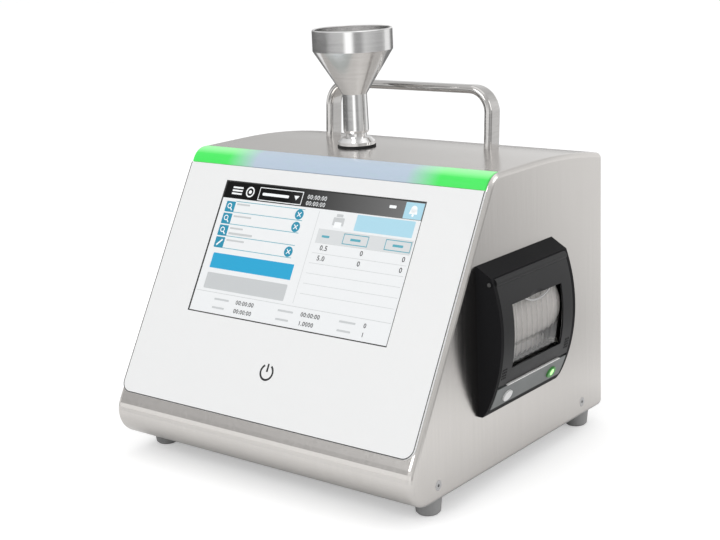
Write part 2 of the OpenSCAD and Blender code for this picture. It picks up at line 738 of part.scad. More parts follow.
module printer_housing() color([0.17, 0.17, 0.17]) in_cabinet() in_printer() difference() {
    union() {
        slab_y(-bezel_w / 2, bezel_w / 2) bezel_outline();
        block([-bucket_d, -bucket_half, bucket_low], [eps, bucket_half, bucket_top]);
    }
    // bay of the door, round its knuckle at the top
    slab_y(-bay_half, bay_half) {
        translate([0, sill_z]) square([2 * printer_proud, hinge_z - sill_z]);
        translate([hinge_x, hinge_z]) circle(r = knuckle_r + lay_gap);
        translate([hinge_x, hinge_z - knuckle_r]) square([printer_proud, knuckle_r + 1.5]);
    }
    // well of the paper roll
    slab_y(-well_half, well_half) {
        translate([roll_x, roll_z]) circle(d = roll_d + 2 * well_gap);
        translate([roll_x, roll_z - roll_d / 2 - well_gap])
            square([-roll_x + 1, roll_d + 2 * well_gap]);
    }
    // recess of the print mechanism
    block([pinion_x - motor_r - 0.2, bucket_wall - bucket_half, sill_z],
        [1, bucket_half - bucket_wall, roll_z - roll_d / 2]);
    // recess of the key bar and the pocket behind it
    slab_y(-key_bar_half - 0.1, key_bar_half + 0.1)
        curved_strip(key_z - key_bar_reach, sill_z + 1, -1, key_bar_t);
    on_arc(key_z) block([-key_pocket, -key_span / 2 - key_w, -key_pocket_half],
        [0, key_span / 2 + key_w, key_pocket_half]);
    translate([hinge_x, 0, hinge_z]) rod_y(-bezel_w, bezel_w, hinge_pin_d / 2 + hold_gap);
    // seat of the idler's pin
    translate([idler_x, 0, platen_z]) rod_y(gear_y, bucket_half - 0.4, idler_pin_r + run_gap);
}

module printer_door() color([0.28, 0.28, 0.28]) in_cabinet() in_printer() difference() {
    union() {
        slab_y(-bay_half + lay_gap, bay_half - lay_gap) {
            curved_strip(door_low, hinge_z - knuckle_r / 2, 0, door_t);
            translate([hinge_x, hinge_z]) circle(r = knuckle_r);
        }
        // ears that carry the platen
        for (side = [-1, 1]) slab_y(side > 0 ? ear_y : -ear_y - ear_t, side > 0 ? ear_y + ear_t : -ear_y) {
            translate([platen_x, platen_z]) circle(r = platen_shaft_d / 2 + 1.3);
            translate([platen_x, platen_z - platen_shaft_d / 2 - 1.3])
                square([arc_out(platen_z) - platen_x - door_t / 2, platen_shaft_d + 2.6]);
        }
    }
    // window, with a step behind it for the pane
    translate([0, -window_w / 2, window_z - window_h / 2]) cube([2 * printer_proud, window_w, window_h]);
    slab_y(-window_w / 2 - window_lip - 0.1, window_w / 2 + window_lip + 0.1)
        curved_strip(window_z - window_h / 2 - window_lip - 0.1,
            window_z + window_h / 2 + window_lip + 0.1, door_t - window_t, door_t + 2);
    // thumb scoop over the window
    on_arc(window_z + window_h / 2 - scoop_drop) translate([scoop_r - scoop_depth, 0, 0])
        sphere(r = scoop_r);
    translate([hinge_x, 0, hinge_z]) rod_y(-bezel_w, bezel_w, hinge_pin_d / 2 + run_gap);
    translate([platen_x, 0, platen_z]) rod_y(-bezel_w, bezel_w, platen_shaft_d / 2 + run_gap);
}

module door_window() color([0.85, 0.88, 0.88]) in_cabinet() in_printer()
    slab_y(-window_w / 2 - window_lip, window_w / 2 + window_lip)
        curved_strip(window_z - window_h / 2 - window_lip, window_z + window_h / 2 + window_lip,
            door_t - window_t + 0.02, door_t);

module door_pin() color([0.75, 0.75, 0.76]) in_cabinet() in_printer()
    translate([hinge_x, 0, hinge_z]) rod_y(-bezel_w / 2 - 0.8, bezel_w / 2 + 0.8, hinge_pin_d / 2);

module at_platen() in_cabinet() in_printer() translate([platen_x, 0, platen_z]) children();

module platen_roller() color([0.12, 0.12, 0.12]) at_platen() difference() {
    rod_y(-platen_half, platen_half, platen_d / 2);
    rod_y(-bezel_w, bezel_w, platen_shaft_d / 2);
}

module platen_shaft() color([0.75, 0.75, 0.76]) at_platen()
    rod_y(-ear_y - ear_t - 0.6, gear_y + gear_t, platen_shaft_d / 2);

module platen_gear() color([0.9, 0.9, 0.86]) at_platen()
    translate([0, gear_y + gear_t, 0]) rotate([90, 0, 0]) difference() {
        linear_extrude(gear_t) gear_outline(platen_teeth, 180);
        translate([0, 0, -1]) cylinder(h = gear_t + 2, d = platen_shaft_d);
    }

module idler_gear() color([0.9, 0.9, 0.86]) in_cabinet() in_printer()
    translate([idler_x, 0, platen_z]) {
        translate([0, gear_y + gear_t, 0]) rotate([90, 0, 0]) linear_extrude(gear_t)
            gear_outline(idler_teeth, 180 / idler_teeth);
        rod_y(gear_y + gear_t - eps, bucket_half - 0.5, idler_pin_r);
    }

module motor_pinion() color([0.85, 0.8, 0.55]) in_cabinet() in_printer()
    translate([pinion_x, 0, platen_z]) {
        turn = idler_teeth % 2 == 0 ? 0 : 180 / pinion_teeth;
        translate([0, gear_y + gear_t, 0]) rotate([90, 0, 0]) linear_extrude(gear_t)
            gear_outline(pinion_teeth, turn);
        rod_y(motor_y - 6, gear_y + eps, pinion_shaft_r);
    }

module printer_motor() color([0.7, 0.7, 0.7]) in_cabinet() in_printer()
    translate([pinion_x, 0, platen_z]) difference() {
        rod_y(motor_y - motor_l, motor_y, motor_r);
        rod_y(motor_y - 7, motor_y + 1, pinion_shaft_r + run_gap);
    }

module print_head() color([0.55, 0.53, 0.5]) in_cabinet() in_printer()
    block([head_x - head_t, -head_half, sill_z], [head_x, head_half, sill_z + head_h]);

module tear_bar() color([0.7, 0.7, 0.7]) in_cabinet() in_printer() {
    teeth = floor(paper_w / tear_pitch);
    root = arc_out(sill_z) - key_bar_t - 1.2;
    translate([0, -teeth * tear_pitch / 2, sill_z]) linear_extrude(tear_t) polygon(concat(
        [[root - 4, teeth * tear_pitch], [root - 4, 0]],
        [for (i = [0:teeth - 1], s = [0, 0.5]) [root + (s > 0 ? 1 : 0), (i + s) * tear_pitch]],
        [[root, teeth * tear_pitch]]));
}

// Paper web of even thickness along [x', z'] points
module paper_path(points) for (i = [0:len(points) - 2]) {
    step = points[i + 1] - points[i];
    translate(points[i]) {
        rotate(atan2(step[1], step[0])) translate([0, -paper_t / 2]) square([norm(step), paper_t]);
        circle(d = paper_t, $fn = 16);
    }
}

module paper_roll() color([0.97, 0.97, 0.96]) in_cabinet() in_printer() {
    // the web leaves the roll's underside along its tangent, towards the print head
    nip = [paper_x, sill_z + head_h + 2 * paper_t];
    to_nip = nip - [roll_x, roll_z];
    leave = atan2(to_nip[1], to_nip[0]) - acos(roll_d / 2 / norm(to_nip));
    web = (roll_d - paper_t) / 2;
    difference() {
        slab_y(-paper_w / 2, paper_w / 2) {
            translate([roll_x, roll_z]) circle(d = roll_d);
            paper_path([[roll_x + web * cos(leave), roll_z + web * sin(leave)], nip,
                [paper_x, sill_z + 3.8], [0.7, sill_z + 2.2], [2.6, sill_z + 1],
                [arc_out(door_low) + paper_proud, sill_z + tear_t + 0.35]]);
        }
        translate([roll_x, 0, roll_z]) rod_y(-paper_w, paper_w, core_d / 2);
    }
}

module paper_core() color([0.75, 0.65, 0.5]) in_cabinet() in_printer()
    translate([roll_x, 0, roll_z]) difference() {
        rod_y(-paper_w / 2, paper_w / 2, core_d / 2);
        rod_y(-paper_w, paper_w, core_bore / 2);
    }

module key_places() on_arc(key_z) for (side = [-1, 1])
    translate([0, side * key_span / 2, 0]) children();

// Round-ended block along y', out to +x'
module key_form(x0, x1, grow) translate([x0, 0, 0]) rotate([0, 90, 0]) linear_extrude(x1 - x0)
    rotate(90) slot(key_w + 2 * grow, key_h + 2 * grow);

module key_bar() color([0.5, 0.51, 0.51]) in_cabinet() in_printer() difference() {
    slab_y(-key_bar_half, key_bar_half)
        curved_strip(key_z - key_bar_reach + 0.1, sill_z, -0.2, key_bar_t);
    key_places() key_form(-key_depth - 2, 3, key_gap);
}

module one_key(side) in_cabinet() in_printer() on_arc(key_z)
    translate([0, side * key_span / 2, 0]) key_form(-key_depth, key_lift, 0);

module open_key() color([0.92, 0.94, 0.92]) one_key(-1);
module feed_key() color([0.3, 0.75, 0.35]) one_key(1);

module key_board() color([0.1, 0.35, 0.2]) in_cabinet() in_printer() {
    on_arc(key_z) block([-key_pocket, -key_span / 2 - key_w + 0.2, 0.2 - key_pocket_half],
        [key_board_t - key_pocket, key_span / 2 + key_w - 0.2, key_pocket_half - 0.2]);
    key_places() translate([key_board_t - key_pocket - eps, -2.5, -2.5]) cube([switch_h, 5, 5]);
}

module printer_board() color([0.1, 0.35, 0.2]) in_cabinet() in_printer()
    translate([-bucket_d, -28, -28]) rotate([0, -90, 0]) circuit_board([56, 56],
        [[6, 8, 12, 12, 2], [30, 6, 8, 30, 5], [8, 34, 18, 10, 3]]);

// ---------------------------------------------------------------- air path

module sensor_block() color([0.2, 0.2, 0.22]) in_cabinet() inlet_axes() difference() {
    translate([-sensor_w / 2, -sensor_w / 2, sensor_z]) cube([sensor_w, sensor_w, sensor_h]);
    // sample path from top to bottom, laser path across it and view from the front
    translate([0, 0, sensor_z - 1]) cylinder(h = sensor_h + 2, r = sample_bore / 2);
    translate([0, 0, beam_z]) {
        rod_x(-sensor_w, sensor_w, 3);
        rod_y(-sensor_w, 0, 7);
    }
    // chamfered block edges
    for (a = [0:90:270]) rotate(a) translate([sensor_w / 2, sensor_w / 2, 0]) rotate(45)
        translate([-3, -3, 0]) cube([6, 6, 400], center = false);
}

module sensor_bracket() color([0.68, 0.67, 0.65]) in_cabinet() inlet_axes() {
    half = sensor_w / 2 - 4;
    block([-half, -sensor_w / 2, shelf_top], [half, sensor_w / 2, shelf_top + sheet]);
    for (side = [-1, 1]) block([-half, side > 0 ? sensor_w / 2 - 6 : -sensor_w / 2 + 6 - sheet, shelf_top],
        [half, side > 0 ? sensor_w / 2 - 6 + sheet : -sensor_w / 2 + 6, sensor_z]);
}

module laser_module() color([0.55, 0.56, 0.58]) in_cabinet() inlet_axes()
    translate([sensor_w / 2, 0, beam_z]) difference() {
        union() {
            rod_x(0, laser_l, laser_d / 2 - 2);
            rod_x(0, 3, laser_d / 2 + 2);
            for (x = [8:4:laser_l - 2]) rod_x(x, x + 2, laser_d / 2);
        }
        rod_x(-1, laser_l - 8, 2.5);
    }

module detector_module() color([0.55, 0.56, 0.58]) in_cabinet() inlet_axes()
    translate([0, -sensor_w / 2, beam_z]) difference() {
        union() {
            rod_y(-3, 0, detector_d / 2 + 2);
            rod_y(-detector_l, 0, detector_d / 2);
        }
        rod_y(-detector_l + 4, 1, 7);
    }

module light_trap() color([0.1, 0.1, 0.1]) in_cabinet() inlet_axes()
    translate([-sensor_w / 2, 0, beam_z]) difference() {
        rod_x(-trap_l, 0, trap_d / 2);
        rotate([0, -90, 0]) translate([0, 0, -eps]) cylinder(h = trap_l - 2, r1 = 4, r2 = 0.8);
    }

module outlet_tube() color([0.75, 0.78, 0.8]) in_cabinet() inlet_axes() {
    blower_face = blower_x + blower_w / 2 + inlet_x;
    translate([-tube_bend_r, 0, sensor_z]) rotate([90, 0, 0]) mirror([0, 1, 0])
        rotate_extrude(angle = 90) translate([tube_bend_r, 0]) difference() {
            circle(d = tube_d);
            circle(d = sample_bore);
        }
    translate([0, 0, sensor_z - tube_bend_r]) difference() {
        rod_x(blower_face, -tube_bend_r, tube_d / 2);
        rod_x(blower_face - 1, -tube_bend_r + 1, sample_bore / 2);
    }
}

module at_blower() in_cabinet() translate([blower_x, blower_c[0], blower_c[1]]) children();

module blower_housing() color([0.15, 0.15, 0.16]) at_blower() {
    half = blower_w / 2;
    // stub that carries the rotor
    rod_x(-half + blower_wall - eps, -half + blower_wall + rotor_stub_l, rotor_stub_r);
    difference() {
        union() {
            rod_x(-half, half, blower_d / 2);
            block([-half, 0, blower_d / 2 - duct_h], [half, filter_y[0] - blower_c[0], blower_d / 2]);
            block([-half, -12, -blower_d / 2 - lay_gap], [half, 12, -blower_d / 2 + 6]);
        }
        rod_x(-half + blower_wall, half - blower_wall, blower_d / 2 - blower_wall);
        block([-half + blower_wall, 0, blower_d / 2 - duct_h + blower_wall],
            [half - blower_wall, 60, blower_d / 2 - blower_wall]);
        rod_x(0, half + 1, sample_bore / 2);
    }
}

module blower_rotor() color([0.2, 0.2, 0.22]) at_blower() {
    half = blower_w / 2 - blower_wall;
    difference() {
        union() {
            rod_x(0.6 - half, 2.4 - half, rotor_d / 2);
            rod_x(0.4 - half, half - 4, rotor_hub_r);
        }
        rod_x(-half, rotor_stub_l + 0.4 - half, rotor_stub_r + run_gap);
    }
    for (i = [0:blower_blades - 1]) rotate([i * 360 / blower_blades, 0, 0])
        translate([2 - half, rotor_d / 2 - 7, -0.5]) rotate([24, 0, 0])
            cube([2 * half - 4, 7, 1]);
}

module exhaust_filter() color([0.9, 0.9, 0.88]) in_cabinet() difference() {
    block([filter_x[0], filter_y[0], shelf_top], [filter_x[1], filter_y[1], filter_top]);
    block([filter_x[0] + 2, filter_y[1] - 5, shelf_top + 3], [filter_x[1] - 2, 0, filter_top - 3]);
    // pleats on the clean side
    for (x = [filter_x[0] + 4:4:filter_x[1] - 5])
        block([x, filter_y[1] - 12, shelf_top + 4], [x + 2, filter_y[1] - 4, filter_top - 4]);
}

// ---------------------------------------------------------------- rear

module at_fan() in_cabinet() translate([fan_x, rear_panel_y, fan_z]) rotate([90, 0, 0]) children();

module fan_frame() color([0.12, 0.12, 0.12]) at_fan() {
    difference() {
        translate([-fan_size / 2, -fan_size / 2, 0]) cube([fan_size, fan_size, fan_depth]);
        translate([0, 0, -1]) cylinder(h = fan_depth + 2, d = fan_size - 2 * fan_wall);
        for (x = [-1, 1], y = [-1, 1]) translate([x, y, 0] * (fan_size / 2 - 4)) translate([0, 0, -1])
            cylinder(h = fan_depth + 2, r = 1.6);
    }
    // motor seat and its spokes
    translate([0, 0, fan_depth - 3]) difference() {
        union() {
            cylinder(h = 3, d = fan_hub_d);
            for (a = [0:120:240]) rotate(a + 30) translate([0, -1.5, 0]) cube([fan_size / 2 - fan_wall / 2, 3, 2]);
        }
        translate([0, 0, -1]) cylinder(h = 2.5, r = 1.5 + run_gap);
    }
}

module fan_rotor() color([0.15, 0.15, 0.15]) at_fan() {
    translate([0, 0, 1]) cylinder(h = fan_depth - 4.5, d = fan_hub_d);
    translate([0, 0, fan_depth - 3.5 - eps]) cylinder(h = 1.8, r = 1.5);
    intersection() {
        translate([0, 0, 1.2]) cylinder(h = fan_depth - 5, d = fan_size - 2 * fan_wall - 1);
        for (a = [0:360 / 7:359]) rotate(a) translate([fan_hub_d / 2 - 1, 0, fan_depth / 2 - 1])
            rotate([40, 0, 0]) translate([0, -7, -0.6]) cube([fan_size / 2, 14, 1.2]);
    }
}

module rear_panel() color([0.7, 0.69, 0.67]) in_cabinet() {
    difference() {
        block([-rear_panel_x, rear_panel_y, base_z + 0.2], [rear_panel_x, -sheet, rear_panel_top]);
        rear_screw_places() translate([0, 0, sheet - 1]) cylinder(h = rear_t + 2, r = screw_r + hold_gap);
        block([bay_x0 + bay_wall, rear_panel_y - 1, base_z + bay_wall],
            [bay_x1 - bay_wall, 0, bay_top - bay_wall]);
        // ports
        block([jack_x - 6 - port_gap, rear_panel_y - 1, port_z(0) - port_gap],
            [jack_x + 6 + port_gap, 0, port_z(0) + 12 + port_gap]);
        block([network_x - 8 - port_gap, rear_panel_y - 1, port_z(0) - port_gap],
            [network_x + 8 + port_gap, 0, port_z(0) + 13.5 + port_gap]);
        block([usb_x - 7.5 - port_gap, rear_panel_y - 1, port_z(0) - port_gap],
            [usb_x + 7.5 + port_gap, 0, port_z(0) + 15 + port_gap]);
        // exhaust slots
        for (x = [filter_x[0] + 6:5:filter_x[1] - 5]) translate([x, 0, (shelf_top + filter_top) / 2])
            rotate([90, 0, 0]) linear_extrude(10) rotate(90) slot(filter_top - shelf_top - 14, 2.4);
        // fan grille
        translate([fan_x, 1, fan_z]) rotate([90, 0, 0]) linear_extrude(10) intersection() {
            difference() {
                circle(d = fan_size - 4);
                circle(d = fan_hub_d - 4);
                for (a = [0:60:300]) rotate(a) translate([0, -1.2]) square([fan_size, 2.4]);
            }
            for (r = [fan_hub_d / 2:4:fan_size / 2]) difference() {
                circle(r = r + 1);
                circle(r = r - 1);
            }
        }
    }
    // knuckles of the battery door's hinge
    for (z = [battery_door_z0, battery_door_z1 - knuckle_l]) difference() {
        union() {
            translate([battery_hinge_x, battery_hinge_y, z]) cylinder(h = knuckle_l, r = hinge_r);
            block([battery_hinge_x - hinge_r, -sheet - eps, z],
                [battery_hinge_x, battery_hinge_y, z + knuckle_l]);
        }
        translate([battery_hinge_x, battery_hinge_y, z - 1])
            cylinder(h = knuckle_l + 2, r = battery_pin_r + hold_gap);
    }
}

module battery_door() color([0.7, 0.69, 0.67]) in_cabinet() difference() {
    low = battery_door_z0 + knuckle_l + 0.2;
    high = battery_door_z1 - knuckle_l - 0.2;
    inner_y = 0.1 - sheet;
    union() {
        block([battery_hinge_x + hinge_r + 0.2, inner_y, battery_door_z0],
            [battery_door_x1, inner_y + battery_door_t, battery_door_z1]);
        block([battery_hinge_x, inner_y, low], [battery_hinge_x + hinge_r + 1, inner_y + battery_door_t, high]);
        translate([battery_hinge_x, battery_hinge_y, low]) cylinder(h = high - low, r = hinge_r);
    }
    translate([battery_hinge_x, battery_hinge_y, 0]) cylinder(h = bay_top + 20, r = battery_pin_r + run_gap);
    // finger notch at the free edge
    translate([battery_door_x1, inner_y - 1, (battery_door_z0 + battery_door_z1) / 2]) rotate([-90, 0, 0])
        cylinder(h = battery_door_t + 2, r = 8);
}

module battery_hinge_pin() color([0.75, 0.75, 0.76]) in_cabinet()
    translate([battery_hinge_x, battery_hinge_y, battery_door_z0])
        cylinder(h = battery_door_z1 - battery_door_z0, r = battery_pin_r);

function port_z(rise) = main_board_z + board_t + rise;

// Socket with an opening at the rear; size is [width, height]
module port(x, size, mouth, depth) {
    y1 = -sheet + port_out;
    difference() {
        block([x - size[0] / 2, y1 - depth, port_z(0)], [x + size[0] / 2, y1, port_z(size[1])]);
        block([x - mouth[0] / 2, y1 - depth + 4, port_z((size[1] - mouth[1]) / 2)],
            [x + mouth[0] / 2, y1 + 1, port_z((size[1] + mouth[1]) / 2)]);
    }
}

module power_inlet() color([0.1, 0.1, 0.1]) in_cabinet() {
    y1 = -sheet + port_out;
    difference() {
        block([jack_x - 6, y1 - 20, port_z(0)], [jack_x + 6, y1, port_z(12)]);
        translate([jack_x, 0, port_z(6)]) rod_y(y1 - 12, y1 + 1, 4);
    }
    translate([jack_x, 0, port_z(6)]) rod_y(y1 - 12 - eps, y1 - 1, 1);
}

module network_port() color([0.7, 0.7, 0.72]) in_cabinet() port(network_x, [16, 13.5], [11.8, 8], 21);

module usb_port() color([0.7, 0.7, 0.72]) in_cabinet() {
    y1 = -sheet + port_out;
    difference() {
        block([usb_x - 7.5, y1 - 18, port_z(0)], [usb_x + 7.5, y1, port_z(15)]);
        for (z = [1.6, 8.4]) block([usb_x - 6.3, y1 - 14, port_z(z)], [usb_x + 6.3, y1 + 1, port_z(z + 5)]);
    }
}

module main_board() color([0.1, 0.35, 0.2]) in_cabinet() {
    size = [main_board_x[1] - main_board_x[0], main_board_y[1] - main_board_y[0]];
    translate([main_board_x[0], main_board_y[0], main_board_z]) circuit_board(size,
        [[12, 18, 26, 26, 6], [52, 14, 14, 34, 5], [14, 62, 18, 18, 2], [46, 66, 24, 14, 3],
            [60, 98, 10, 10, 9], [20, 104, 12, 12, 9]]);
    for (x = [6, size[0] - 6], y = [6, size[1] - 14]) translate([main_board_x[0] + x,
        main_board_y[0] + y, base_z]) cylinder(h = main_board_z - base_z + eps, r = 2.6);
}

module chassis_shelf() color([0.68, 0.67, 0.65]) in_cabinet() {
    block([shelf_x0, shelf_y[0], shelf_z], [shelf_x1, shelf_y[1], shelf_top]);
    block([shelf_x0, shelf_y[0], base_z], [shelf_x0 + shelf_t, shelf_y[1], shelf_z + eps]);
    block([shelf_x1 - shelf_t, shelf_y[0], base_z], [shelf_x1, shelf_y[1], shelf_z + eps]);
}

module battery_bay() color([0.68, 0.67, 0.65]) in_cabinet() difference() {
    block([bay_x0, bay_y0, base_z], [bay_x1, rear_panel_y, bay_top]);
    block([bay_x0 + bay_wall, bay_y0 + bay_wall, base_z + bay_wall],
        [bay_x1 - bay_wall, 0, bay_top - bay_wall]);
}

module battery_packs() color([0.15, 0.17, 0.2]) in_cabinet() for (i = [0, 1])
    translate([bay_x0 + bay_wall + pack_gap, rear_panel_y - pack_l - 0.5,
        base_z + bay_wall + 0.3 + i * (pack_h + pack_gap)]) difference() {
            cube([pack_w, pack_l, pack_h]);
            // pull tab recess
            translate([pack_w / 2 - 15, pack_l - 3, pack_h - 6]) cube([30, 4, 7]);
        }

cabinet_shell();
base_pan();
rear_panel();
feet();
foot_screws();
side_screws();
rear_screws();
front_overlay();
display_module();
display_board();
light_bar();
light_board();
carry_handle();
handle_screws();
inlet_fitting();
inlet_gasket();
inlet_nut();
isokinetic_probe();
probe_o_ring();
inlet_tube();
printer_housing();
printer_door();
door_window();
door_pin();
platen_roller();
platen_shaft();
platen_gear();
idler_gear();
motor_pinion();
printer_motor();
print_head();
tear_bar();
paper_roll();
paper_core();
key_bar();
open_key();
feed_key();
key_board();
printer_board();
sensor_block();
sensor_bracket();
laser_module();
detector_module();
light_trap();
outlet_tube();
blower_housing();
blower_rotor();
exhaust_filter();
fan_frame();
fan_rotor();
main_board();
chassis_shelf();
battery_bay();
battery_packs();
battery_door();
battery_hinge_pin();
power_inlet();
network_port();
usb_port();
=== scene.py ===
import math

import bmesh
import bpy
from mathutils import Matrix, Vector


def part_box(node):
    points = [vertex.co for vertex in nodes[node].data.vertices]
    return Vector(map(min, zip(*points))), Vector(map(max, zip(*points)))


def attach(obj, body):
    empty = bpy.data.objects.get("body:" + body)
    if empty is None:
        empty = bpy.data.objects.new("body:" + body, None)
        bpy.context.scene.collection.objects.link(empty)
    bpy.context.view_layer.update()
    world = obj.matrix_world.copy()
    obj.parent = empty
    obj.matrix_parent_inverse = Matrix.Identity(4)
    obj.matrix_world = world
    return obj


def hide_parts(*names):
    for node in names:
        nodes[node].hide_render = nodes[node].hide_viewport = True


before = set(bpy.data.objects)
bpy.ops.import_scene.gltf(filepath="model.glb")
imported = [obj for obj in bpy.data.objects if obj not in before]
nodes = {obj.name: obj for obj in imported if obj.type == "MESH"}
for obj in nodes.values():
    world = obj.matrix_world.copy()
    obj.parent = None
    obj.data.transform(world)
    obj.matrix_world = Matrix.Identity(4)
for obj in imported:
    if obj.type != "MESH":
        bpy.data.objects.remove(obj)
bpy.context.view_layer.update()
scene = bpy.context.scene
scene.view_settings.view_transform = "Standard"
print("frame loaded:", len(nodes), "nodes")

mm = 0.001


# camera
camera = {
    "place": (0.52957, -0.671385, 0.328535),
    "yaw": 38.62,
    "pitch": 14.23,
    "roll": 2.50,
    "lens": 70.5,
    "sensor": 36.0,
    "clip": (0.05, 20),
}


def makeCamera(c):
    yaw, pitch, roll = (math.radians(c[k]) for k in ("yaw", "pitch", "roll"))
    level = Vector((-math.sin(yaw), math.cos(yaw), 0))
    forward = level * math.cos(pitch) - Vector((0, 0, math.sin(pitch)))
    right = Vector((math.cos(yaw), math.sin(yaw), 0))
    down = forward.cross(right)
    turnedRight = math.cos(roll) * right + math.sin(roll) * down
    turnedDown = -math.sin(roll) * right + math.cos(roll) * down
    data = bpy.data.cameras.new("camera")
    data.lens = c["lens"]
    data.sensor_width = c["sensor"]
    data.clip_start, data.clip_end = c["clip"]
    obj = bpy.data.objects.new("camera", data)
    scene.collection.objects.link(obj)
    turn = Matrix((turnedRight, -turnedDown, -forward)).transposed()
    obj.matrix_world = Matrix.Translation(c["place"]) @ turn.to_4x4()
    scene.camera = obj


makeCamera(camera)
print("camera placed")


# node helpers; a value may be a number, a tuple or another node's output
def setOrLink(tree, socket, value):
    if isinstance(value, bpy.types.NodeSocket):
        tree.links.new(value, socket)
    else:
        socket.default_value = value


def mathNode(tree, operation, a, b=None, clamp=False):
    node = tree.nodes.new("ShaderNodeMath")
    node.operation = operation
    node.use_clamp = clamp
    setOrLink(tree, node.inputs[0], a)
    if b is not None:
        setOrLink(tree, node.inputs[1], b)
    return node.outputs[0]


def vectorNode(tree, operation, a, b):
    node = tree.nodes.new("ShaderNodeVectorMath")
    node.operation = operation
    setOrLink(tree, node.inputs[0], a)
    setOrLink(tree, node.inputs[1], b)
    return node.outputs


def objectCoords(tree):
    return tree.nodes.new("ShaderNodeTexCoord").outputs["Object"]


def splitAxes(tree, vector):
    node = tree.nodes.new("ShaderNodeSeparateXYZ")
    tree.links.new(vector, node.inputs[0])
    return node.outputs


def stretchedNoise(tree, vector, stretch, detail=4.0, rough=0.6):
    noise = tree.nodes.new("ShaderNodeTexNoise")
    noise.inputs["Scale"].default_value = 1.0
    noise.inputs["Detail"].default_value = detail
    noise.inputs["Roughness"].default_value = rough
    scaled = vectorNode(tree, "MULTIPLY", vector, stretch)
    tree.links.new(scaled["Vector"], noise.inputs["Vector"])
    return noise.outputs["Fac"]


def bumpNode(tree, height, strength, distance):
    bump = tree.nodes.new("ShaderNodeBump")
    bump.inputs["Distance"].default_value = distance
    tree.links.new(strength, bump.inputs["Strength"])
    tree.links.new(height, bump.inputs["Height"])
    return bump.outputs["Normal"]


def spread(tree, value, low, high, fromLow=0.3, fromHigh=0.7):
    # maps fromLow..fromHigh to low..high and stops at both ends
    node = tree.nodes.new("ShaderNodeMapRange")
    node.inputs["From Min"].default_value = fromLow
    node.inputs["From Max"].default_value = fromHigh
    node.inputs["To Min"].default_value = low
    node.inputs["To Max"].default_value = high
    tree.links.new(value, node.inputs["Value"])
    return node.outputs[0]


def blendNumbers(tree, factor, a, b):
    node = tree.nodes.new("ShaderNodeMix")
    for label, value in (("Factor", factor), ("A", a), ("B", b)):
        setOrLink(tree, node.inputs[label], value)
    return node.outputs["Result"]


def blendColours(tree, factor, a, b):
    node = tree.nodes.new("ShaderNodeMix")
    node.data_type = "RGBA"
    tree.links.new(factor, node.inputs["Factor"])
    for label, colour in (("A", a), ("B", b)):
        setOrLink(tree, node.inputs[label], (*colour, 1) if isinstance(colour, tuple) else colour)
    return node.outputs["Result"]


def newGroup(name, inputs, outputs):
    group = bpy.data.node_groups.new(name, "ShaderNodeTree")
    for label, kind, value in inputs:
        socket = group.interface.new_socket(label, in_out="INPUT", socket_type=kind)
        socket.default_value = value
    for label, kind in outputs:
        group.interface.new_socket(label, in_out="OUTPUT", socket_type=kind)
    return group, group.nodes.new("NodeGroupInput"), group.nodes.new("NodeGroupOutput")


def useGroup(tree, group, **values):
    node = tree.nodes.new("ShaderNodeGroup")
    node.node_tree = group
    for label, value in values.items():
        setOrLink(tree, node.inputs[label], value)
    return node.outputs


def sendOut(tree, node, values):
    for label, value in values.items():
        tree.links.new(value, node.inputs[label])


# long scratches one way, with a broad cloud that shifts the tone; noises are (detail, roughness)
brushed = {"stretch": (400, 400, 12), "cloud": (9, 9, 9), "depth": 0.1, "scratchNoise": (6.0, 0.7),
           "cloudNoise": (2.0, 0.5), "bump": 0.0002}


def makeGrainGroup(g):
    group, inp, out = newGroup(
        "brushedGrain",
        [("Stretch", "NodeSocketVector", g["stretch"]), ("Cloud", "NodeSocketVector", g["cloud"]),
         ("Depth", "NodeSocketFloat", g["depth"])],
        [("Grain", "NodeSocketFloat"), ("Tone", "NodeSocketFloat"), ("Normal", "NodeSocketVector")])
    coords = objectCoords(group)
    grain = stretchedNoise(group, coords, inp.outputs["Stretch"], *g["scratchNoise"])
    tone = stretchedNoise(group, coords, inp.outputs["Cloud"], *g["cloudNoise"])
    normal = bumpNode(group, grain, inp.outputs["Depth"], g["bump"])
    sendOut(group, out, {"Grain": grain, "Tone": tone, "Normal": normal})
    return group


# fine leathery grain of moulded plastic, with worn spots that shine
moulded = {"scale": 1500.0, "depth": 0.2, "worn": (35, 35, 35), "wornNoise": (3.0, 0.6),
           "wornFrom": 0.45, "wornTo": 0.75, "bump": 0.0001}


def makeMouldGroup(m):
    group, inp, out = newGroup(
        "mouldedGrain",
        [("Scale", "NodeSocketFloat", m["scale"]), ("Depth", "NodeSocketFloat", m["depth"])],
        [("Grain", "NodeSocketFloat"), ("Wear", "NodeSocketFloat"), ("Normal", "NodeSocketVector")])
    coords = objectCoords(group)
    cells = group.nodes.new("ShaderNodeTexVoronoi")
    cells.feature = "SMOOTH_F1"
    group.links.new(coords, cells.inputs["Vector"])
    group.links.new(inp.outputs["Scale"], cells.inputs["Scale"])
    worn = stretchedNoise(group, coords, m["worn"], *m["wornNoise"])
    wear = spread(group, worn, 0, 1, m["wornFrom"], m["wornTo"])
    grain = cells.outputs["Distance"]
    normal = bumpNode(group, grain, inp.outputs["Depth"], m["bump"])
    sendOut(group, out, {"Grain": grain, "Wear": wear, "Normal": normal})
    return group


# finger marks and wiping streaks, as a mask
wiped = {"amount": 0.5, "patches": (14, 22, 18), "patchNoise": (3.0, 0.6), "streaks": (160, 30, 60),
         "streakNoise": (3.0, 0.7), "from": 0.22, "to": 0.42}


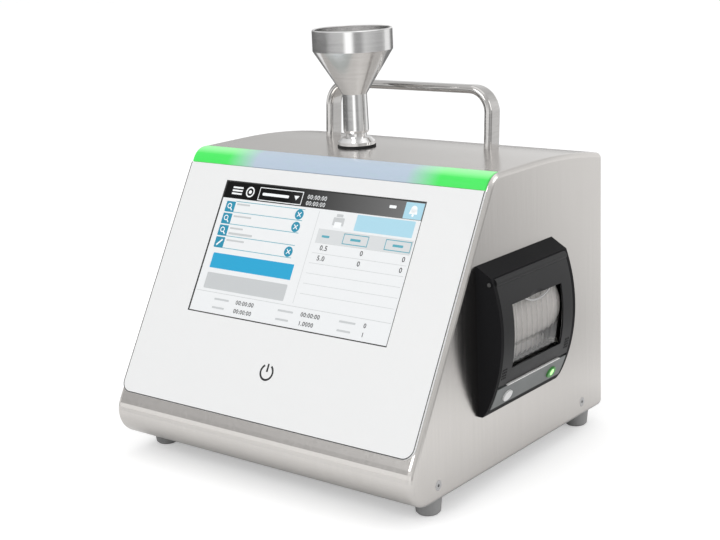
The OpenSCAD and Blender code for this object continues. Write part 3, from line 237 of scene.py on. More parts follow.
def makeSmudgeGroup(w):
    group, inp, out = newGroup(
        "wipeMarks", [("Amount", "NodeSocketFloat", w["amount"])], [("Mask", "NodeSocketFloat")])
    coords = objectCoords(group)
    patches = stretchedNoise(group, coords, w["patches"], *w["patchNoise"])
    streaks = stretchedNoise(group, coords, w["streaks"], *w["streakNoise"])
    both = mathNode(group, "MULTIPLY", patches, streaks)
    shown = spread(group, both, 0, 1, w["from"], w["to"])
    sendOut(group, out, {"Mask": mathNode(group, "MULTIPLY", shown, inp.outputs["Amount"])})
    return group


grainGroup = makeGrainGroup(brushed)
mouldGroup = makeMouldGroup(moulded)
smudgeGroup = makeSmudgeGroup(wiped)


# materials
def newMaterial(name):
    material = bpy.data.materials.new(name)
    material.use_nodes = True
    tree = material.node_tree
    return material, tree, tree.nodes["Principled BSDF"]


metalMix = {"grain": 0.6, "tone": 0.4, "cloud": (5, 5, 5), "markRough": 0.08}


def brushedMetal(name, dark, light, rough, stretch, depth, smudge=0.3):
    material, tree, shader = newMaterial(name)
    grain = useGroup(tree, grainGroup, Stretch=stretch, Cloud=metalMix["cloud"], Depth=depth)
    marks = useGroup(tree, smudgeGroup, Amount=smudge)
    mixed = mathNode(tree, "ADD", mathNode(tree, "MULTIPLY", grain["Grain"], metalMix["grain"]),
                     mathNode(tree, "MULTIPLY", grain["Tone"], metalMix["tone"]))
    colour = blendColours(tree, spread(tree, mixed, 0, 1), dark, light)
    tree.links.new(colour, shader.inputs["Base Color"])
    rougher = mathNode(tree, "MULTIPLY", marks["Mask"], metalMix["markRough"])
    roughness = mathNode(tree, "ADD", spread(tree, grain["Grain"], *rough), rougher)
    tree.links.new(roughness, shader.inputs["Roughness"])
    tree.links.new(grain["Normal"], shader.inputs["Normal"])
    shader.inputs["Metallic"].default_value = 1.0
    return material


def mouldedPlastic(name, dark, light, rough, scale=1800.0, depth=0.25, specular=0.5):
    material, tree, shader = newMaterial(name)
    grain = useGroup(tree, mouldGroup, Scale=scale, Depth=depth)
    colour = blendColours(tree, grain["Grain"], dark, light)
    tree.links.new(colour, shader.inputs["Base Color"])
    shine = mathNode(tree, "SUBTRACT", 1.0, grain["Wear"])
    tree.links.new(spread(tree, shine, *rough, 0, 1), shader.inputs["Roughness"])
    tree.links.new(grain["Normal"], shader.inputs["Normal"])
    shader.inputs["Specular IOR Level"].default_value = specular
    return material


def grey(value, warm=0.0):
    return (value + warm, value, value - warm)


# metals: dark, light, roughness, stretch of the grain, its depth, wipe marks
metals = {
    "shellSteel": (grey(0.61, 0.024), grey(0.69, 0.024), (0.17, 0.25), (900, 900, 14), 0.03),
    "sheetSteel": (grey(0.46, 0.006), grey(0.60, 0.006), (0.34, 0.46), (26, 800, 800), 0.06),
    "polishedSteel": (grey(0.46, 0.012), grey(0.60, 0.012), (0.05, 0.10), (60, 60, 900), 0.03, 0.2),
    "turnedSteel": (grey(0.74, 0.004), grey(0.86, 0.004), (0.14, 0.21), (30, 30, 1400), 0.06, 0.2),
    "screwSteel": (grey(0.45), grey(0.6), (0.25, 0.35), (300, 300, 300), 0.05, 0.1),
    # painted highlight: steel far lighter than plain steel, so the tear bar shows as the bright
    # line along the paper slot
    "highlightSteel": (grey(0.86), grey(0.94), (0.3, 0.4), (300, 60, 300), 0.03, 0.1),
    "darkPin": (grey(0.10), grey(0.16), (0.3, 0.4), (300, 300, 300), 0.05, 0.1),
    "brass": ((0.55, 0.43, 0.2), (0.7, 0.56, 0.3), (0.25, 0.4), (200, 200, 600), 0.05),
    "motorCase": (grey(0.5), grey(0.62), (0.35, 0.5), (200, 600, 200), 0.05),
}

# plastics and the rest: dark, light, roughness, scale of the grain, its depth, shine
plastics = {
    "overlayFilm": ((0.895, 0.90, 0.90), (0.915, 0.92, 0.92), (0.29, 0.32), 2600.0, 0.04),
    "screenFrame": (grey(0.02), grey(0.03), (0.3, 0.4)),
    "printerShell": ((0.009, 0.009, 0.010), (0.013, 0.013, 0.014), (0.36, 0.46), 2200.0, 0.3, 0.05),
    "printerDoor": ((0.013, 0.013, 0.014), (0.021, 0.021, 0.022), (0.28, 0.38), 2200.0, 0.2, 0.25),
    "keyPanel": ((0.16, 0.17, 0.17), (0.2, 0.21, 0.21), (0.35, 0.45), 2200.0, 0.15),
    # painted highlight: opaque light grey for the glint along the clear scoop lip
    "scoopEdgeHighlight": (grey(0.40), grey(0.50), (0.2, 0.3), 2200.0, 0.05),
    "whiteKey": (grey(0.8), grey(0.85), (0.25, 0.35), 2200.0, 0.05),
    "greenKey": ((0.06, 0.30, 0.06), (0.09, 0.40, 0.08), (0.25, 0.35), 2200.0, 0.05),
    "paper": ((0.88, 0.87, 0.86), (0.94, 0.93, 0.92), (0.6, 0.75), 5000.0, 0.1, 0.2),
    "card": ((0.42, 0.31, 0.2), (0.52, 0.4, 0.27), (0.7, 0.85), 3000.0, 0.2, 0.2),
    "blackRubber": (grey(0.012), grey(0.02), (0.55, 0.7), 2500.0, 0.2, 0.3),
    "footRubber": (grey(0.30), grey(0.37), (0.5, 0.65), 2500.0, 0.25, 0.35),
    "gearPlastic": ((0.68, 0.68, 0.62), (0.76, 0.76, 0.7), (0.4, 0.5)),
    "ceramic": ((0.32, 0.3, 0.26), (0.4, 0.37, 0.33), (0.2, 0.3)),
    "board": ((0.008, 0.09, 0.035), (0.012, 0.13, 0.05), (0.3, 0.45), 900.0, 0.3),
    "opticBlack": (grey(0.015), grey(0.025), (0.4, 0.5), 3500.0, 0.1),
    "hose": ((0.5, 0.53, 0.53), (0.6, 0.62, 0.62), (0.2, 0.3), 1500.0, 0.05),
    "innerBlack": (grey(0.018), grey(0.028), (0.4, 0.55)),
    "filterMedia": ((0.7, 0.7, 0.66), (0.8, 0.8, 0.76), (0.8, 0.9), 2500.0, 0.4, 0.2),
    "batteryWrap": ((0.02, 0.035, 0.1), (0.03, 0.05, 0.14), (0.2, 0.35), 900.0, 0.1),
}

finishes = {name: brushedMetal(name, *values) for name, values in metals.items()}
finishes.update({name: mouldedPlastic(name, *values) for name, values in plastics.items()})
print("finishes made:", len(finishes))

nodeFinish = {
    "shellSteel": ["cabinet_shell"],
    "sheetSteel": ["base_pan", "rear_panel", "chassis_shelf", "sensor_bracket", "battery_door"],
    "polishedSteel": ["carry_handle"],
    "turnedSteel": ["isokinetic_probe", "inlet_fitting"],
    "screwSteel": ["foot_screws", "side_screws", "rear_screws", "handle_screws", "inlet_tube",
                   "platen_shaft", "battery_hinge_pin", "network_port", "usb_port"],
    "highlightSteel": ["tear_bar"],
    "darkPin": ["door_pin"],
    "brass": ["inlet_nut", "motor_pinion"],
    "motorCase": ["printer_motor"],
    "overlayFilm": ["front_overlay"],
    "screenFrame": ["display_module"],
    "printerShell": ["printer_housing"],
    "printerDoor": ["printer_door"],
    "keyPanel": ["key_bar"],
    "whiteKey": ["open_key"],
    "greenKey": ["feed_key"],
    "paper": ["paper_roll"],
    "card": ["paper_core"],
    "blackRubber": ["inlet_gasket", "probe_o_ring", "platen_roller"],
    "footRubber": ["feet"],
    "gearPlastic": ["platen_gear", "idler_gear"],
    "ceramic": ["print_head"],
    "board": ["main_board", "display_board", "printer_board", "key_board", "light_board"],
    "opticBlack": ["sensor_block", "laser_module", "detector_module", "light_trap"],
    "hose": ["outlet_tube"],
    "innerBlack": ["blower_housing", "blower_rotor", "fan_frame", "fan_rotor", "battery_bay",
                   "power_inlet"],
    "filterMedia": ["exhaust_filter"],
    "batteryWrap": ["battery_packs"],
}


def dress(node, material):
    data = nodes[node].data
    data.materials.clear()
    data.materials.append(material)


for finish, names in nodeFinish.items():
    for name in names:
        dress(name, finishes[finish])


# light bar: green at both ends, cool white between, paler green along its long edges
lightBar = {
    "green": (0.05, 0.72, 0.10),
    "paleGreen": (0.30, 0.88, 0.34),
    "paleFrom": 0.45,
    "white": (0.42, 0.50, 0.60),
    "mirrored": (0.34, 0.36, 0.35),  # what metal sees of it
    "leftEnd": -0.079,
    "rightEnd": 0.062,
    "fade": 0.012,
    "haze": (90, 500, 500),
    "hazeNoise": (2.0, 0.5),
    "hazeDepth": 0.12,
    "glow": 0.22,
    "rough": 0.35,
}


def litBarMaterial(b):
    material, tree, shader = newMaterial("litBar")
    coords = objectCoords(tree)
    at = splitAxes(tree, coords)
    left = spread(tree, at["X"], 1, 0, b["leftEnd"] - b["fade"], b["leftEnd"] + b["fade"])
    right = spread(tree, at["X"], 0, 1, b["rightEnd"] - b["fade"], b["rightEnd"] + b["fade"])
    haze = stretchedNoise(tree, coords, b["haze"], *b["hazeNoise"])
    haze = mathNode(tree, "MULTIPLY", mathNode(tree, "SUBTRACT", haze, 0.5), b["hazeDepth"])
    ends = mathNode(tree, "ADD", mathNode(tree, "MAXIMUM", left, right), haze, clamp=True)
    low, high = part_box("light_bar")
    across = mathNode(tree, "ABSOLUTE", spread(tree, at["Z"], -1, 1, low.z, high.z))
    pale = spread(tree, across, 0, 1, b["paleFrom"], 1.0)
    green = blendColours(tree, pale, b["green"], b["paleGreen"])
    rays = tree.nodes.new("ShaderNodeLightPath").outputs
    direct = blendColours(tree, ends, b["white"], green)
    colour = blendColours(tree, rays["Is Glossy Ray"], direct, b["mirrored"])
    tree.links.new(colour, shader.inputs["Base Color"])
    tree.links.new(colour, shader.inputs["Emission Color"])
    shader.inputs["Emission Strength"].default_value = b["glow"]
    shader.inputs["Roughness"].default_value = b["rough"]
    return material


dress("light_bar", litBarMaterial(lightBar))


# clear pane, with a darker line painted down each flute: painted shade standing in for the dark
# bands the flutes make by refraction
clearPane = {
    "tint": (0.99, 0.975, 0.96),
    "line": (0.77, 0.755, 0.74),
    "shadeFrom": 0.45,
    "pitch": 5.6,
    "haze": (120, 120, 120),
    "hazeNoise": (3.0, 0.6),
    "rough": (0.05, 0.10),
    "ior": 1.45,
}


def clearPlastic(name, c):
    material, tree, shader = newMaterial(name)
    coords = objectCoords(tree)
    haze = stretchedNoise(tree, coords, c["haze"], *c["hazeNoise"])
    turn = mathNode(tree, "MULTIPLY", splitAxes(tree, coords)["Y"], 2 * math.pi / (c["pitch"] * mm))
    # painted shade: the transmission colour darkens in a narrow line once every pitch
    line = spread(tree, mathNode(tree, "SINE", turn), 0, 1, c["shadeFrom"], 1.0)
    tree.links.new(spread(tree, haze, *c["rough"]), shader.inputs["Roughness"])
    tree.links.new(blendColours(tree, line, c["tint"], c["line"]), shader.inputs["Base Color"])
    shader.inputs["Transmission Weight"].default_value = 1.0
    shader.inputs["IOR"].default_value = c["ior"]
    return material


finishes["windowPane"] = clearPlastic("windowPane", clearPane)
dress("door_window", finishes["windowPane"])


# studio: levels are of white light, a strength of 1 being white
studio = {
    "floorSize": 12.0,
    "floorTone": (0.80, 0.82),
    "floorSpeckle": (6, 6, 6),
    "speckleNoise": (3.0, 0.5),
    "floorRough": 0.9,
    "floorShine": 0.1,
    "floorGlow": 0.38,  # seen by the camera alone
    "backdrop": 1.0,  # seen by the camera alone
    "level": 0.60,
    "above": {"more": 0.30, "from": 0.1, "to": 0.7},
    "darkSide": {"towards": (-0.86, -0.35, 0.0), "from": 0.35, "to": 0.95, "keep": 0.30},
    # cards that polished metal sees all round: (turn from -X by way of -Y, level)
    "wallCards": [(0.00, 0.30), (0.12, 0.30), (0.27, 0.55), (0.30, 1.1), (0.355, 1.1),
                  (0.385, 0.45), (0.46, 0.72), (0.60, 0.55), (0.675, 1.05), (0.78, 1.05),
                  (0.83, 0.86), (0.86, 0.62), (0.92, 0.40)],
    "floorCards": [(0.00, 0.12), (0.12, 0.10), (0.165, 0.36), (0.28, 0.46), (0.305, 1.5),
                   (0.345, 1.4), (0.37, 0.34), (0.42, 0.34), (0.455, 0.70), (0.575, 0.40),
                   (0.625, 0.44), (0.665, 1.02), (0.715, 0.95), (0.75, 0.18), (0.95, 0.12)],
    "cardsTop": (0.22, 0.5),  # heights of a direction between which the wall's cards fade out
    "overCards": 0.72,
    "frontBand": {"towards": (-0.6, -0.8, 0.0), "from": 0.35, "to": 0.75, "level": 1.2,
                  "top": (0.10, 0.30)},
    "zenith": {"from": 0.72, "to": 0.95, "level": 0.95},
    # floor that metal sees: even near the object, cards further off, the shadow close under it
    "nearFloor": {"level": 0.98, "middle": (-0.15, -0.05, 0), "from": 0.37, "to": 0.52},
    "metalSees": {"far": 0.92, "footprint": {"X": 0.112, "Y": 0.102}, "from": 0.004, "to": 0.075},
}


def makeCardGroup(name, cards):
    # level of the studio's cards round the object, by the way a ray goes
    group, inp, out = newGroup(
        name, [("Way", "NodeSocketVector", (0, 0, 0))], [("Level", "NodeSocketFloat")])
    at = splitAxes(group, inp.outputs["Way"])
    turn = spread(group, mathNode(group, "ARCTAN2", at["Y"], at["X"]), 0, 1, -math.pi, math.pi)
    ramp = group.nodes.new("ShaderNodeFloatCurve")
    curve = ramp.mapping.curves[0]
    top = max(level for _, level in cards)
    places = [(way, level / top) for way, level in cards + [(1.0, cards[0][1])]]
    curve.points[0].location, curve.points[1].location = places[0], places[-1]
    for place in places[1:-1]:
        curve.points.new(*place)
    for point in curve.points:
        point.handle_type = "VECTOR"
    ramp.mapping.update()
    group.links.new(turn, ramp.inputs["Value"])
    sendOut(group, out, {"Level": mathNode(group, "MULTIPLY", ramp.outputs[0], top)})
    return group


cardGroups = {name: makeCardGroup(name, studio[name]) for name in ("wallCards", "floorCards")}


def whiteFloor(w):
    # shows white to the camera and keeps the object's shadow; metal sees the cards in it
    material, tree, shader = newMaterial("floorPaint")
    coords = objectCoords(tree)
    speckle = stretchedNoise(tree, coords, w["floorSpeckle"], *w["speckleNoise"])
    colour = blendColours(tree, speckle, *(grey(tone) for tone in w["floorTone"]))
    tree.links.new(colour, shader.inputs["Base Color"])
    shader.inputs["Roughness"].default_value = w["floorRough"]
    shader.inputs["Specular IOR Level"].default_value = w["floorShine"]
    shader.inputs["Emission Color"].default_value = (1, 1, 1, 1)
    rays = tree.nodes.new("ShaderNodeLightPath").outputs
    tree.links.new(mathNode(tree, "MULTIPLY", rays["Is Camera Ray"], w["floorGlow"]),
                   shader.inputs["Emission Strength"])
    near = w["nearFloor"]
    away = vectorNode(tree, "DISTANCE", coords, near["middle"])["Value"]
    far = spread(tree, away, 0, 1, near["from"], near["to"])
    cards = useGroup(tree, cardGroups["floorCards"], Way=coords)["Level"]
    glow = tree.nodes.new("ShaderNodeEmission")
    tree.links.new(blendNumbers(tree, far, near["level"], cards), glow.inputs["Strength"])
    sees = w["metalSees"]
    at = splitAxes(tree, coords)
    past = [mathNode(tree, "SUBTRACT", mathNode(tree, "ABSOLUTE", at[axis]), half)
            for axis, half in sees["footprint"].items()]
    clear = mathNode(tree, "MAXIMUM", *past)
    clear = spread(tree, clear, 0, sees["far"], sees["from"], sees["to"])
    blend = tree.nodes.new("ShaderNodeMixShader")
    tree.links.new(mathNode(tree, "MULTIPLY", rays["Is Glossy Ray"], clear), blend.inputs[0])
    tree.links.new(shader.outputs[0], blend.inputs[1])
    tree.links.new(glow.outputs[0], blend.inputs[2])
    tree.links.new(blend.outputs[0], tree.nodes["Material Output"].inputs["Surface"])
    return material


def makeFloor(w):
    mesh = bpy.data.meshes.new("floor")
    form = bmesh.new()
    bmesh.ops.create_grid(form, x_segments=1, y_segments=1, size=w["floorSize"] / 2)
    form.to_mesh(mesh)
    form.free()
    floor = bpy.data.objects.new("floor", mesh)
    scene.collection.objects.link(floor)
    mesh.materials.append(whiteFloor(w))


def makeWorld(w):
    world = bpy.data.worlds.new("studio")
    scene.world = world
    world.use_nodes = True
    tree = world.node_tree
    back = tree.nodes["Background"]
    back.inputs["Color"].default_value = (1, 1, 1, 1)
    way = tree.nodes.new("ShaderNodeTexCoord").outputs["Generated"]
    height = splitAxes(tree, way)["Z"]

    above, dark = w["above"], w["darkSide"]
    level = spread(tree, height, 0, above["more"], above["from"], above["to"])
    level = mathNode(tree, "ADD", level, w["level"])
    towards = Vector(dark["towards"]).normalized()
    shade = vectorNode(tree, "DOT_PRODUCT", way, towards)["Value"]
    shade = spread(tree, shade, 1, dark["keep"], dark["from"], dark["to"])
    level = mathNode(tree, "MULTIPLY", level, shade)

    high = spread(tree, height, 0, 1, *w["cardsTop"])
    cards = useGroup(tree, cardGroups["wallCards"], Way=way)["Level"]
    shiny = blendNumbers(tree, high, cards, w["overCards"])
    band = w["frontBand"]
    ahead = vectorNode(tree, "DOT_PRODUCT", way, band["towards"])["Value"]
    inBand = mathNode(tree, "MULTIPLY", spread(tree, ahead, 0, 1, band["from"], band["to"]),
                      spread(tree, height, 1, 0, *band["top"]))
    shiny = blendNumbers(tree, inBand, shiny, band["level"])
    over = w["zenith"]
    overhead = spread(tree, height, 0, 1, over["from"], over["to"])
    shiny = blendNumbers(tree, overhead, shiny, over["level"])

    rays = tree.nodes.new("ShaderNodeLightPath").outputs
    level = blendNumbers(tree, rays["Is Glossy Ray"], level, shiny)
    level = blendNumbers(tree, rays["Is Camera Ray"], level, w["backdrop"])
    tree.links.new(level, back.inputs["Strength"])


makeFloor(studio)
makeWorld(studio)

lamps = {
    "key": {"place": (-0.2, -1.5, 1.3), "aim": (0, 0, 0.1), "size": (1.0, 0.8), "power": 9},
    "side": {"place": (1.7, 0.9, 0.9), "aim": (0.1, 0, 0.1), "size": (0.8, 1.2), "power": 5},
    "top": {"place": (0.0, 0.4, 1.7), "aim": (0, 0, 0.15), "size": (1.4, 1.2), "power": 2},
}


def makeLamp(name, lamp):
    data = bpy.data.lights.new(name, "AREA")
    data.shape = "RECTANGLE"
    data.size, data.size_y = lamp["size"]
    data.energy = lamp["power"]
    obj = bpy.data.objects.new(name, data)
    obj.location = lamp["place"]
    aim = Vector(lamp["aim"]) - Vector(lamp["place"])
    obj.rotation_euler = aim.to_track_quat("-Z", "Y").to_euler()
    scene.collection.objects.link(obj)


for name, values in lamps.items():
    makeLamp(name, values)
print("studio lit")


# new pieces
def finishPiece(form, name, material, body, smooth=None):
    bmesh.ops.recalc_face_normals(form, faces=form.faces)
    mesh = bpy.data.meshes.new(name)
    form.to_mesh(mesh)
    form.free()
    mesh.materials.append(material)
    piece = bpy.data.objects.new(name, mesh)
    scene.collection.objects.link(piece)
    if smooth is not None:
        for polygon in mesh.polygons:
            polygon.use_smooth = True
        mesh.set_sharp_from_angle(angle=math.radians(smooth))
    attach(piece, body)
    return piece


# print on the overlay: x from the overlay's middle, s down the slope from its top edge, in mm
face = {"slope": 60.0, "length": 155 * mm, "middleX": -8 * mm}


def faceFrame(f):
    low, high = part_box("front_overlay")
    across, up = math.cos(math.radians(f["slope"])), math.sin(math.radians(f["slope"]))
    return Matrix((
        (1, 0, 0, f["middleX"]),
        (0, across, -up, low.y + f["length"] * across),
        (0, up, across, high.z),
        (0, 0, 0, 1),
    ))


faceMatrix = faceFrame(face)
figureLook = {"capHeight": 0.69, "spacing": 1.12, "fineness": 3, "merge": 1e-7}
printLook = {"cornerSteps": 5, "discSteps": 32, "arcSteps": 40}


class Print:
    # one printed colour: flat plates a few hundredths of a millimetre high
    def __init__(self, name, material, lift, thick=0.03, bold=0.0):
        self.name, self.material, self.bold = name, material, bold
        self.lift, self.thick = lift * mm, thick * mm
        self.form = bmesh.new()

    def take(self, plate, x=0, s=0):
        # raise a flat plate, put it in its place and add it
        out = bmesh.ops.extrude_face_region(plate, geom=plate.faces[:])
        top = [v for v in out["geom"] if isinstance(v, bmesh.types.BMVert)]
        bmesh.ops.translate(plate, verts=top, vec=(0, 0, self.thick))
        bmesh.ops.translate(plate, verts=plate.verts, vec=(x * mm, -s * mm, self.lift))
        mesh = bpy.data.meshes.new("part")
        plate.to_mesh(mesh)
        plate.free()
        self.form.from_mesh(mesh)
        bpy.data.meshes.remove(mesh)

    def shape(self, corners, round=0.0):
        plate = bmesh.new()
        plate.faces.new([plate.verts.new((x * mm, -s * mm, 0)) for x, s in corners])
        if round:
            bmesh.ops.bevel(plate, geom=plate.verts[:], offset=round * mm,
                            segments=printLook["cornerSteps"], profile=0.5, affect="VERTICES",
                            material=-1)
        self.take(plate)

    def box(self, x0, x1, s0, s1, round=0.0):
        self.shape([(x0, s0), (x1, s0), (x1, s1), (x0, s1)], round)

    def outline(self, x0, x1, s0, s1, w):
        self.box(x0, x1, s0, s0 + w)
        self.box(x0, x1, s1 - w, s1)
        self.box(x0, x0 + w, s0, s1)
        self.box(x1 - w, x1, s0, s1)

    def disc(self, x, s, r):
        plate = bmesh.new()
        bmesh.ops.create_circle(plate, cap_ends=True, segments=printLook["discSteps"],
                                radius=r * mm)
        self.take(plate, x, s)

    def line(self, x0, s0, x1, s1, w):
        dx, ds = x1 - x0, s1 - s0
        long = math.hypot(dx, ds)
        nx, ns = -ds / long * w / 2, dx / long * w / 2
        self.shape([(x0 + nx, s0 + ns), (x1 + nx, s1 + ns), (x1 - nx, s1 - ns), (x0 - nx, s0 - ns)])

    def arc(self, x, s, r, w, start, sweep):
        # a bar of width w, spun about the centre
        plate = bmesh.new()
        ends = [plate.verts.new(((r + half) * mm, 0, 0)) for half in (-w / 2, w / 2)]
        edge = plate.edges.new(ends)
        bmesh.ops.rotate(plate, verts=plate.verts, cent=(0, 0, 0),
                         matrix=Matrix.Rotation(math.radians(start), 3, "Z"))
        bmesh.ops.spin(plate, geom=[*ends, edge], cent=(0, 0, 0), axis=(0, 0, 1),
                       steps=printLook["arcSteps"], angle=math.radians(sweep),
                       use_merge=abs(sweep) >= 360)
        self.take(plate, x, s)

    def figures(self, text, x, s, height, align="LEFT"):
        curve = bpy.data.curves.new("figures", "FONT")
        curve.body = text
        curve.size = height / figureLook["capHeight"] * mm
        curve.align_x = align
        curve.resolution_u = figureLook["fineness"]
        curve.offset = self.bold * mm
        curve.space_character = figureLook["spacing"]
        holder = bpy.data.objects.new("figures", curve)
        scene.collection.objects.link(holder)
        bpy.context.view_layer.update()
        flat = bpy.data.meshes.new_from_object(holder)
        bpy.data.objects.remove(holder)
        plate = bmesh.new()
        plate.from_mesh(flat)
        bpy.data.meshes.remove(flat)
        bmesh.ops.remove_doubles(plate, verts=plate.verts, dist=figureLook["merge"])
        self.take(plate, x, s + height / 2)

    def done(self):
        bmesh.ops.transform(self.form, matrix=faceMatrix, verts=self.form.verts)
        return finishPiece(self.form, self.name, self.material, "cabinet")


inkLook = {"cells": (2500, 2500, 2500), "cellNoise": (2.0, 0.5), "shade": 0.04, "rough": 0.3}


def litInk(name, colour, glow):
    material, tree, shader = newMaterial(name)
    cells = stretchedNoise(tree, objectCoords(tree), inkLook["cells"], *inkLook["cellNoise"])
    ink = blendColours(tree, cells, tuple(c * (1 - inkLook["shade"]) for c in colour), colour)
    tree.links.new(ink, shader.inputs["Base Color"])
    tree.links.new(ink, shader.inputs["Emission Color"])
    shader.inputs["Emission Strength"].default_value = glow
    shader.inputs["Roughness"].default_value = inkLook["rough"]
    return material


titleFade = {"black": 0.006, "grey": 0.22, "from": -0.035, "to": 0.07, "shine": 0.08}


def titleInk(t):
    # black at the left, fading to grey at the right
    material, tree, shader = newMaterial("titleInk")
    fade = spread(tree, splitAxes(tree, objectCoords(tree))["X"], 0, 1, t["from"], t["to"])
    ink = blendColours(tree, fade, grey(t["black"]), grey(t["grey"]))
    tree.links.new(ink, shader.inputs["Base Color"])
    shader.inputs["Roughness"].default_value = inkLook["rough"]
    shader.inputs["Specular IOR Level"].default_value = t["shine"]
    return material


inks = {
    "edge": litInk("edgeInk", grey(0.012), 0.0),
    "page": litInk("pageInk", (0.83, 0.845, 0.855), 0.12),
    "title": titleInk(titleFade),
    "blue": litInk("blueInk", (0.012, 0.27, 0.42), 0.1),
    "start": litInk("startInk", (0.012, 0.36, 0.62), 0.14),
    "teal": litInk("tealInk", (0.10, 0.42, 0.52), 0.05),
    "heading": litInk("headingInk", (0.70, 0.72, 0.73), 0.08),
    "paleBlue": litInk("paleBlueInk", (0.40, 0.66, 0.78), 0.15),
    "greyPanel": litInk("greyPanelInk", (0.60, 0.62, 0.63), 0.05),
    "rule": litInk("ruleInk", (0.62, 0.635, 0.64), 0.05),
    "dark": litInk("darkInk", (0.03, 0.032, 0.035), 0.0),
    "white": litInk("whiteInk", (0.9, 0.92, 0.93), 0.15),
    "symbol": litInk("symbolInk", (0.015, 0.016, 0.018), 0.0),
}

# boxes are (x0, x1, s0, s1), with the radius of their corners after them where they have one
backs = {
    "screen_edge": {"ink": "edge", "thick": 0.04, "box": (-78.3, 77.4, 9.9, 96.5)},
    "screen_page": {"ink": "page", "thick": 0.07, "box": (-77, 77, 21.5, 95.8)},
    "screen_title": {"ink": "title", "thick": 0.07, "box": (-77, 77, 10.8, 21.5)},
}


def makeBack(name, b):
    back = Print(name, inks[b["ink"]], 0.0, b["thick"])
    back.box(*b["box"])
    back.done()


for name, values in backs.items():
    makeBack(name, values)

# dark bar along the top: menu, round sign, list to choose from, clocks, battery and bell
titleBar = {
    "menu": {"left": -71, "right": -62.5, "rows": (14.2, 16.2, 18.2), "half": 0.55},
    "icon": {"x": -56, "s": 16.2, "r": 3.0, "line": 0.9, "dot": 1.2},
    "list": {"box": (-48.6, -13.2, 12.2, 20.8), "line": 0.5, "words": (-45.5, -24, 15.6, 17.4, 0.6),
             "arrow": [(-20, 15.2), (-15.8, 15.2), (-17.9, 18)]},
    "clocks": {"text": "00:00:00", "x": -9.5, "rows": (14.9, 18.9), "height": 2.7},
    "battery": (52.5, 57.5, 14.2, 16.0, 0.4),
    "bell": {"back": (63.7, 76.6, 11.2, 21.2), "crown": (70.2, 15.2, 2.2),
             "clapper": (70.2, 19.0, 0.8),
             "body": [(68.0, 15.2), (72.4, 15.2), (73.1, 18.2), (67.3, 18.2)]},
}


def printTitleBar(t, sheets):
    white = sheets["white"]
    menu, icon, choice, clocks, bell = (t[k] for k in ("menu", "icon", "list", "clocks", "bell"))
    for s in menu["rows"]:
        white.box(menu["left"], menu["right"], s - menu["half"], s + menu["half"])
    white.arc(icon["x"], icon["s"], icon["r"], icon["line"], 0, 360)
    white.disc(icon["x"], icon["s"], icon["dot"])
    white.outline(*choice["box"], choice["line"])
    white.shape(choice["arrow"])
    white.box(*choice["words"])
    for s in clocks["rows"]:
        white.figures(clocks["text"], clocks["x"], s, clocks["height"])
    white.box(*t["battery"])
    sheets["pale"].box(*bell["back"])
    white.disc(*bell["crown"])
    white.shape(bell["body"])
    white.disc(*bell["clapper"])


# left half: icon squares with a field line each, erase keys, start button and notes;
# a "row" counts from the top of its square
fieldList = {
    "count": 4,
    "top": 23.5,
    "pitch": 7.9,
    "square": {"left": -72.8, "right": -65.2, "side": 7.0, "round": 0.5},
    "glass": {"x": -69.6, "row": 3.0, "r": 1.5, "line": 0.6},
    "handle": {"from": (-68.6, 4.1), "to": (-67.0, 5.8), "line": 0.8},
    "pen": {"from": (-71.0, 5.5), "to": (-67.0, 1.5), "line": 1.1},
    "field": {"left": -65.2, "right": -8.5, "row": 6.6, "line": 0.4, "first": 23.0},
    "words": {"left": -63.8, "rights": (-53, -49), "rows": (0.9, 2.0), "round": 0.3},
    "entry": (-63.8, -44, 43.5, 44.9, 0.3),
    "erase": {"x": -12, "down": (26.6, 34.6, 50.4), "r": 3.3, "cross": 1.4, "line": 0.6},
    "start": (-71, -4.5, 57.7, 67.5, 0.4),
    "notes": (-71, -5, 70.5, 80.8, 0.8),
}


def stroke(sheet, mark, top):
    (x0, row0), (x1, row1) = mark["from"], mark["to"]
    sheet.line(x0, top + row0, x1, top + row1, mark["line"])


def printFieldList(f, sheets):
    white, blue, teal, panel = (sheets[k] for k in ("white", "blue", "teal", "panel"))
    square, glass, field, words, erase = (
        f[k] for k in ("square", "glass", "field", "words", "erase"))
    for i in range(f["count"]):
        top = f["top"] + i * f["pitch"]
        blue.box(square["left"], square["right"], top, top + square["side"], square["round"])
        if i < f["count"] - 1:
            white.arc(glass["x"], top + glass["row"], glass["r"], glass["line"], 0, 360)
            stroke(white, f["handle"], top)
        else:
            stroke(white, f["pen"], top)
        low = top + field["row"]
        teal.box(field["left"], field["right"], low, low + field["line"])
        wordsTop, wordsLow = (top + row for row in words["rows"])
        panel.box(words["left"], words["rights"][i % 2], wordsTop, wordsLow, words["round"])
    panel.box(*f["entry"])
    for s in erase["down"]:
        blue.disc(erase["x"], s, erase["r"])
        for side in (-1, 1):
            rise = erase["cross"] * side
            white.line(erase["x"] - erase["cross"], s - rise, erase["x"] + erase["cross"], s + rise,
                       erase["line"])
    teal.box(field["left"], field["right"], field["first"], field["first"] + field["line"])
    sheets["start"].box(*f["start"])
    panel.box(*f["notes"])


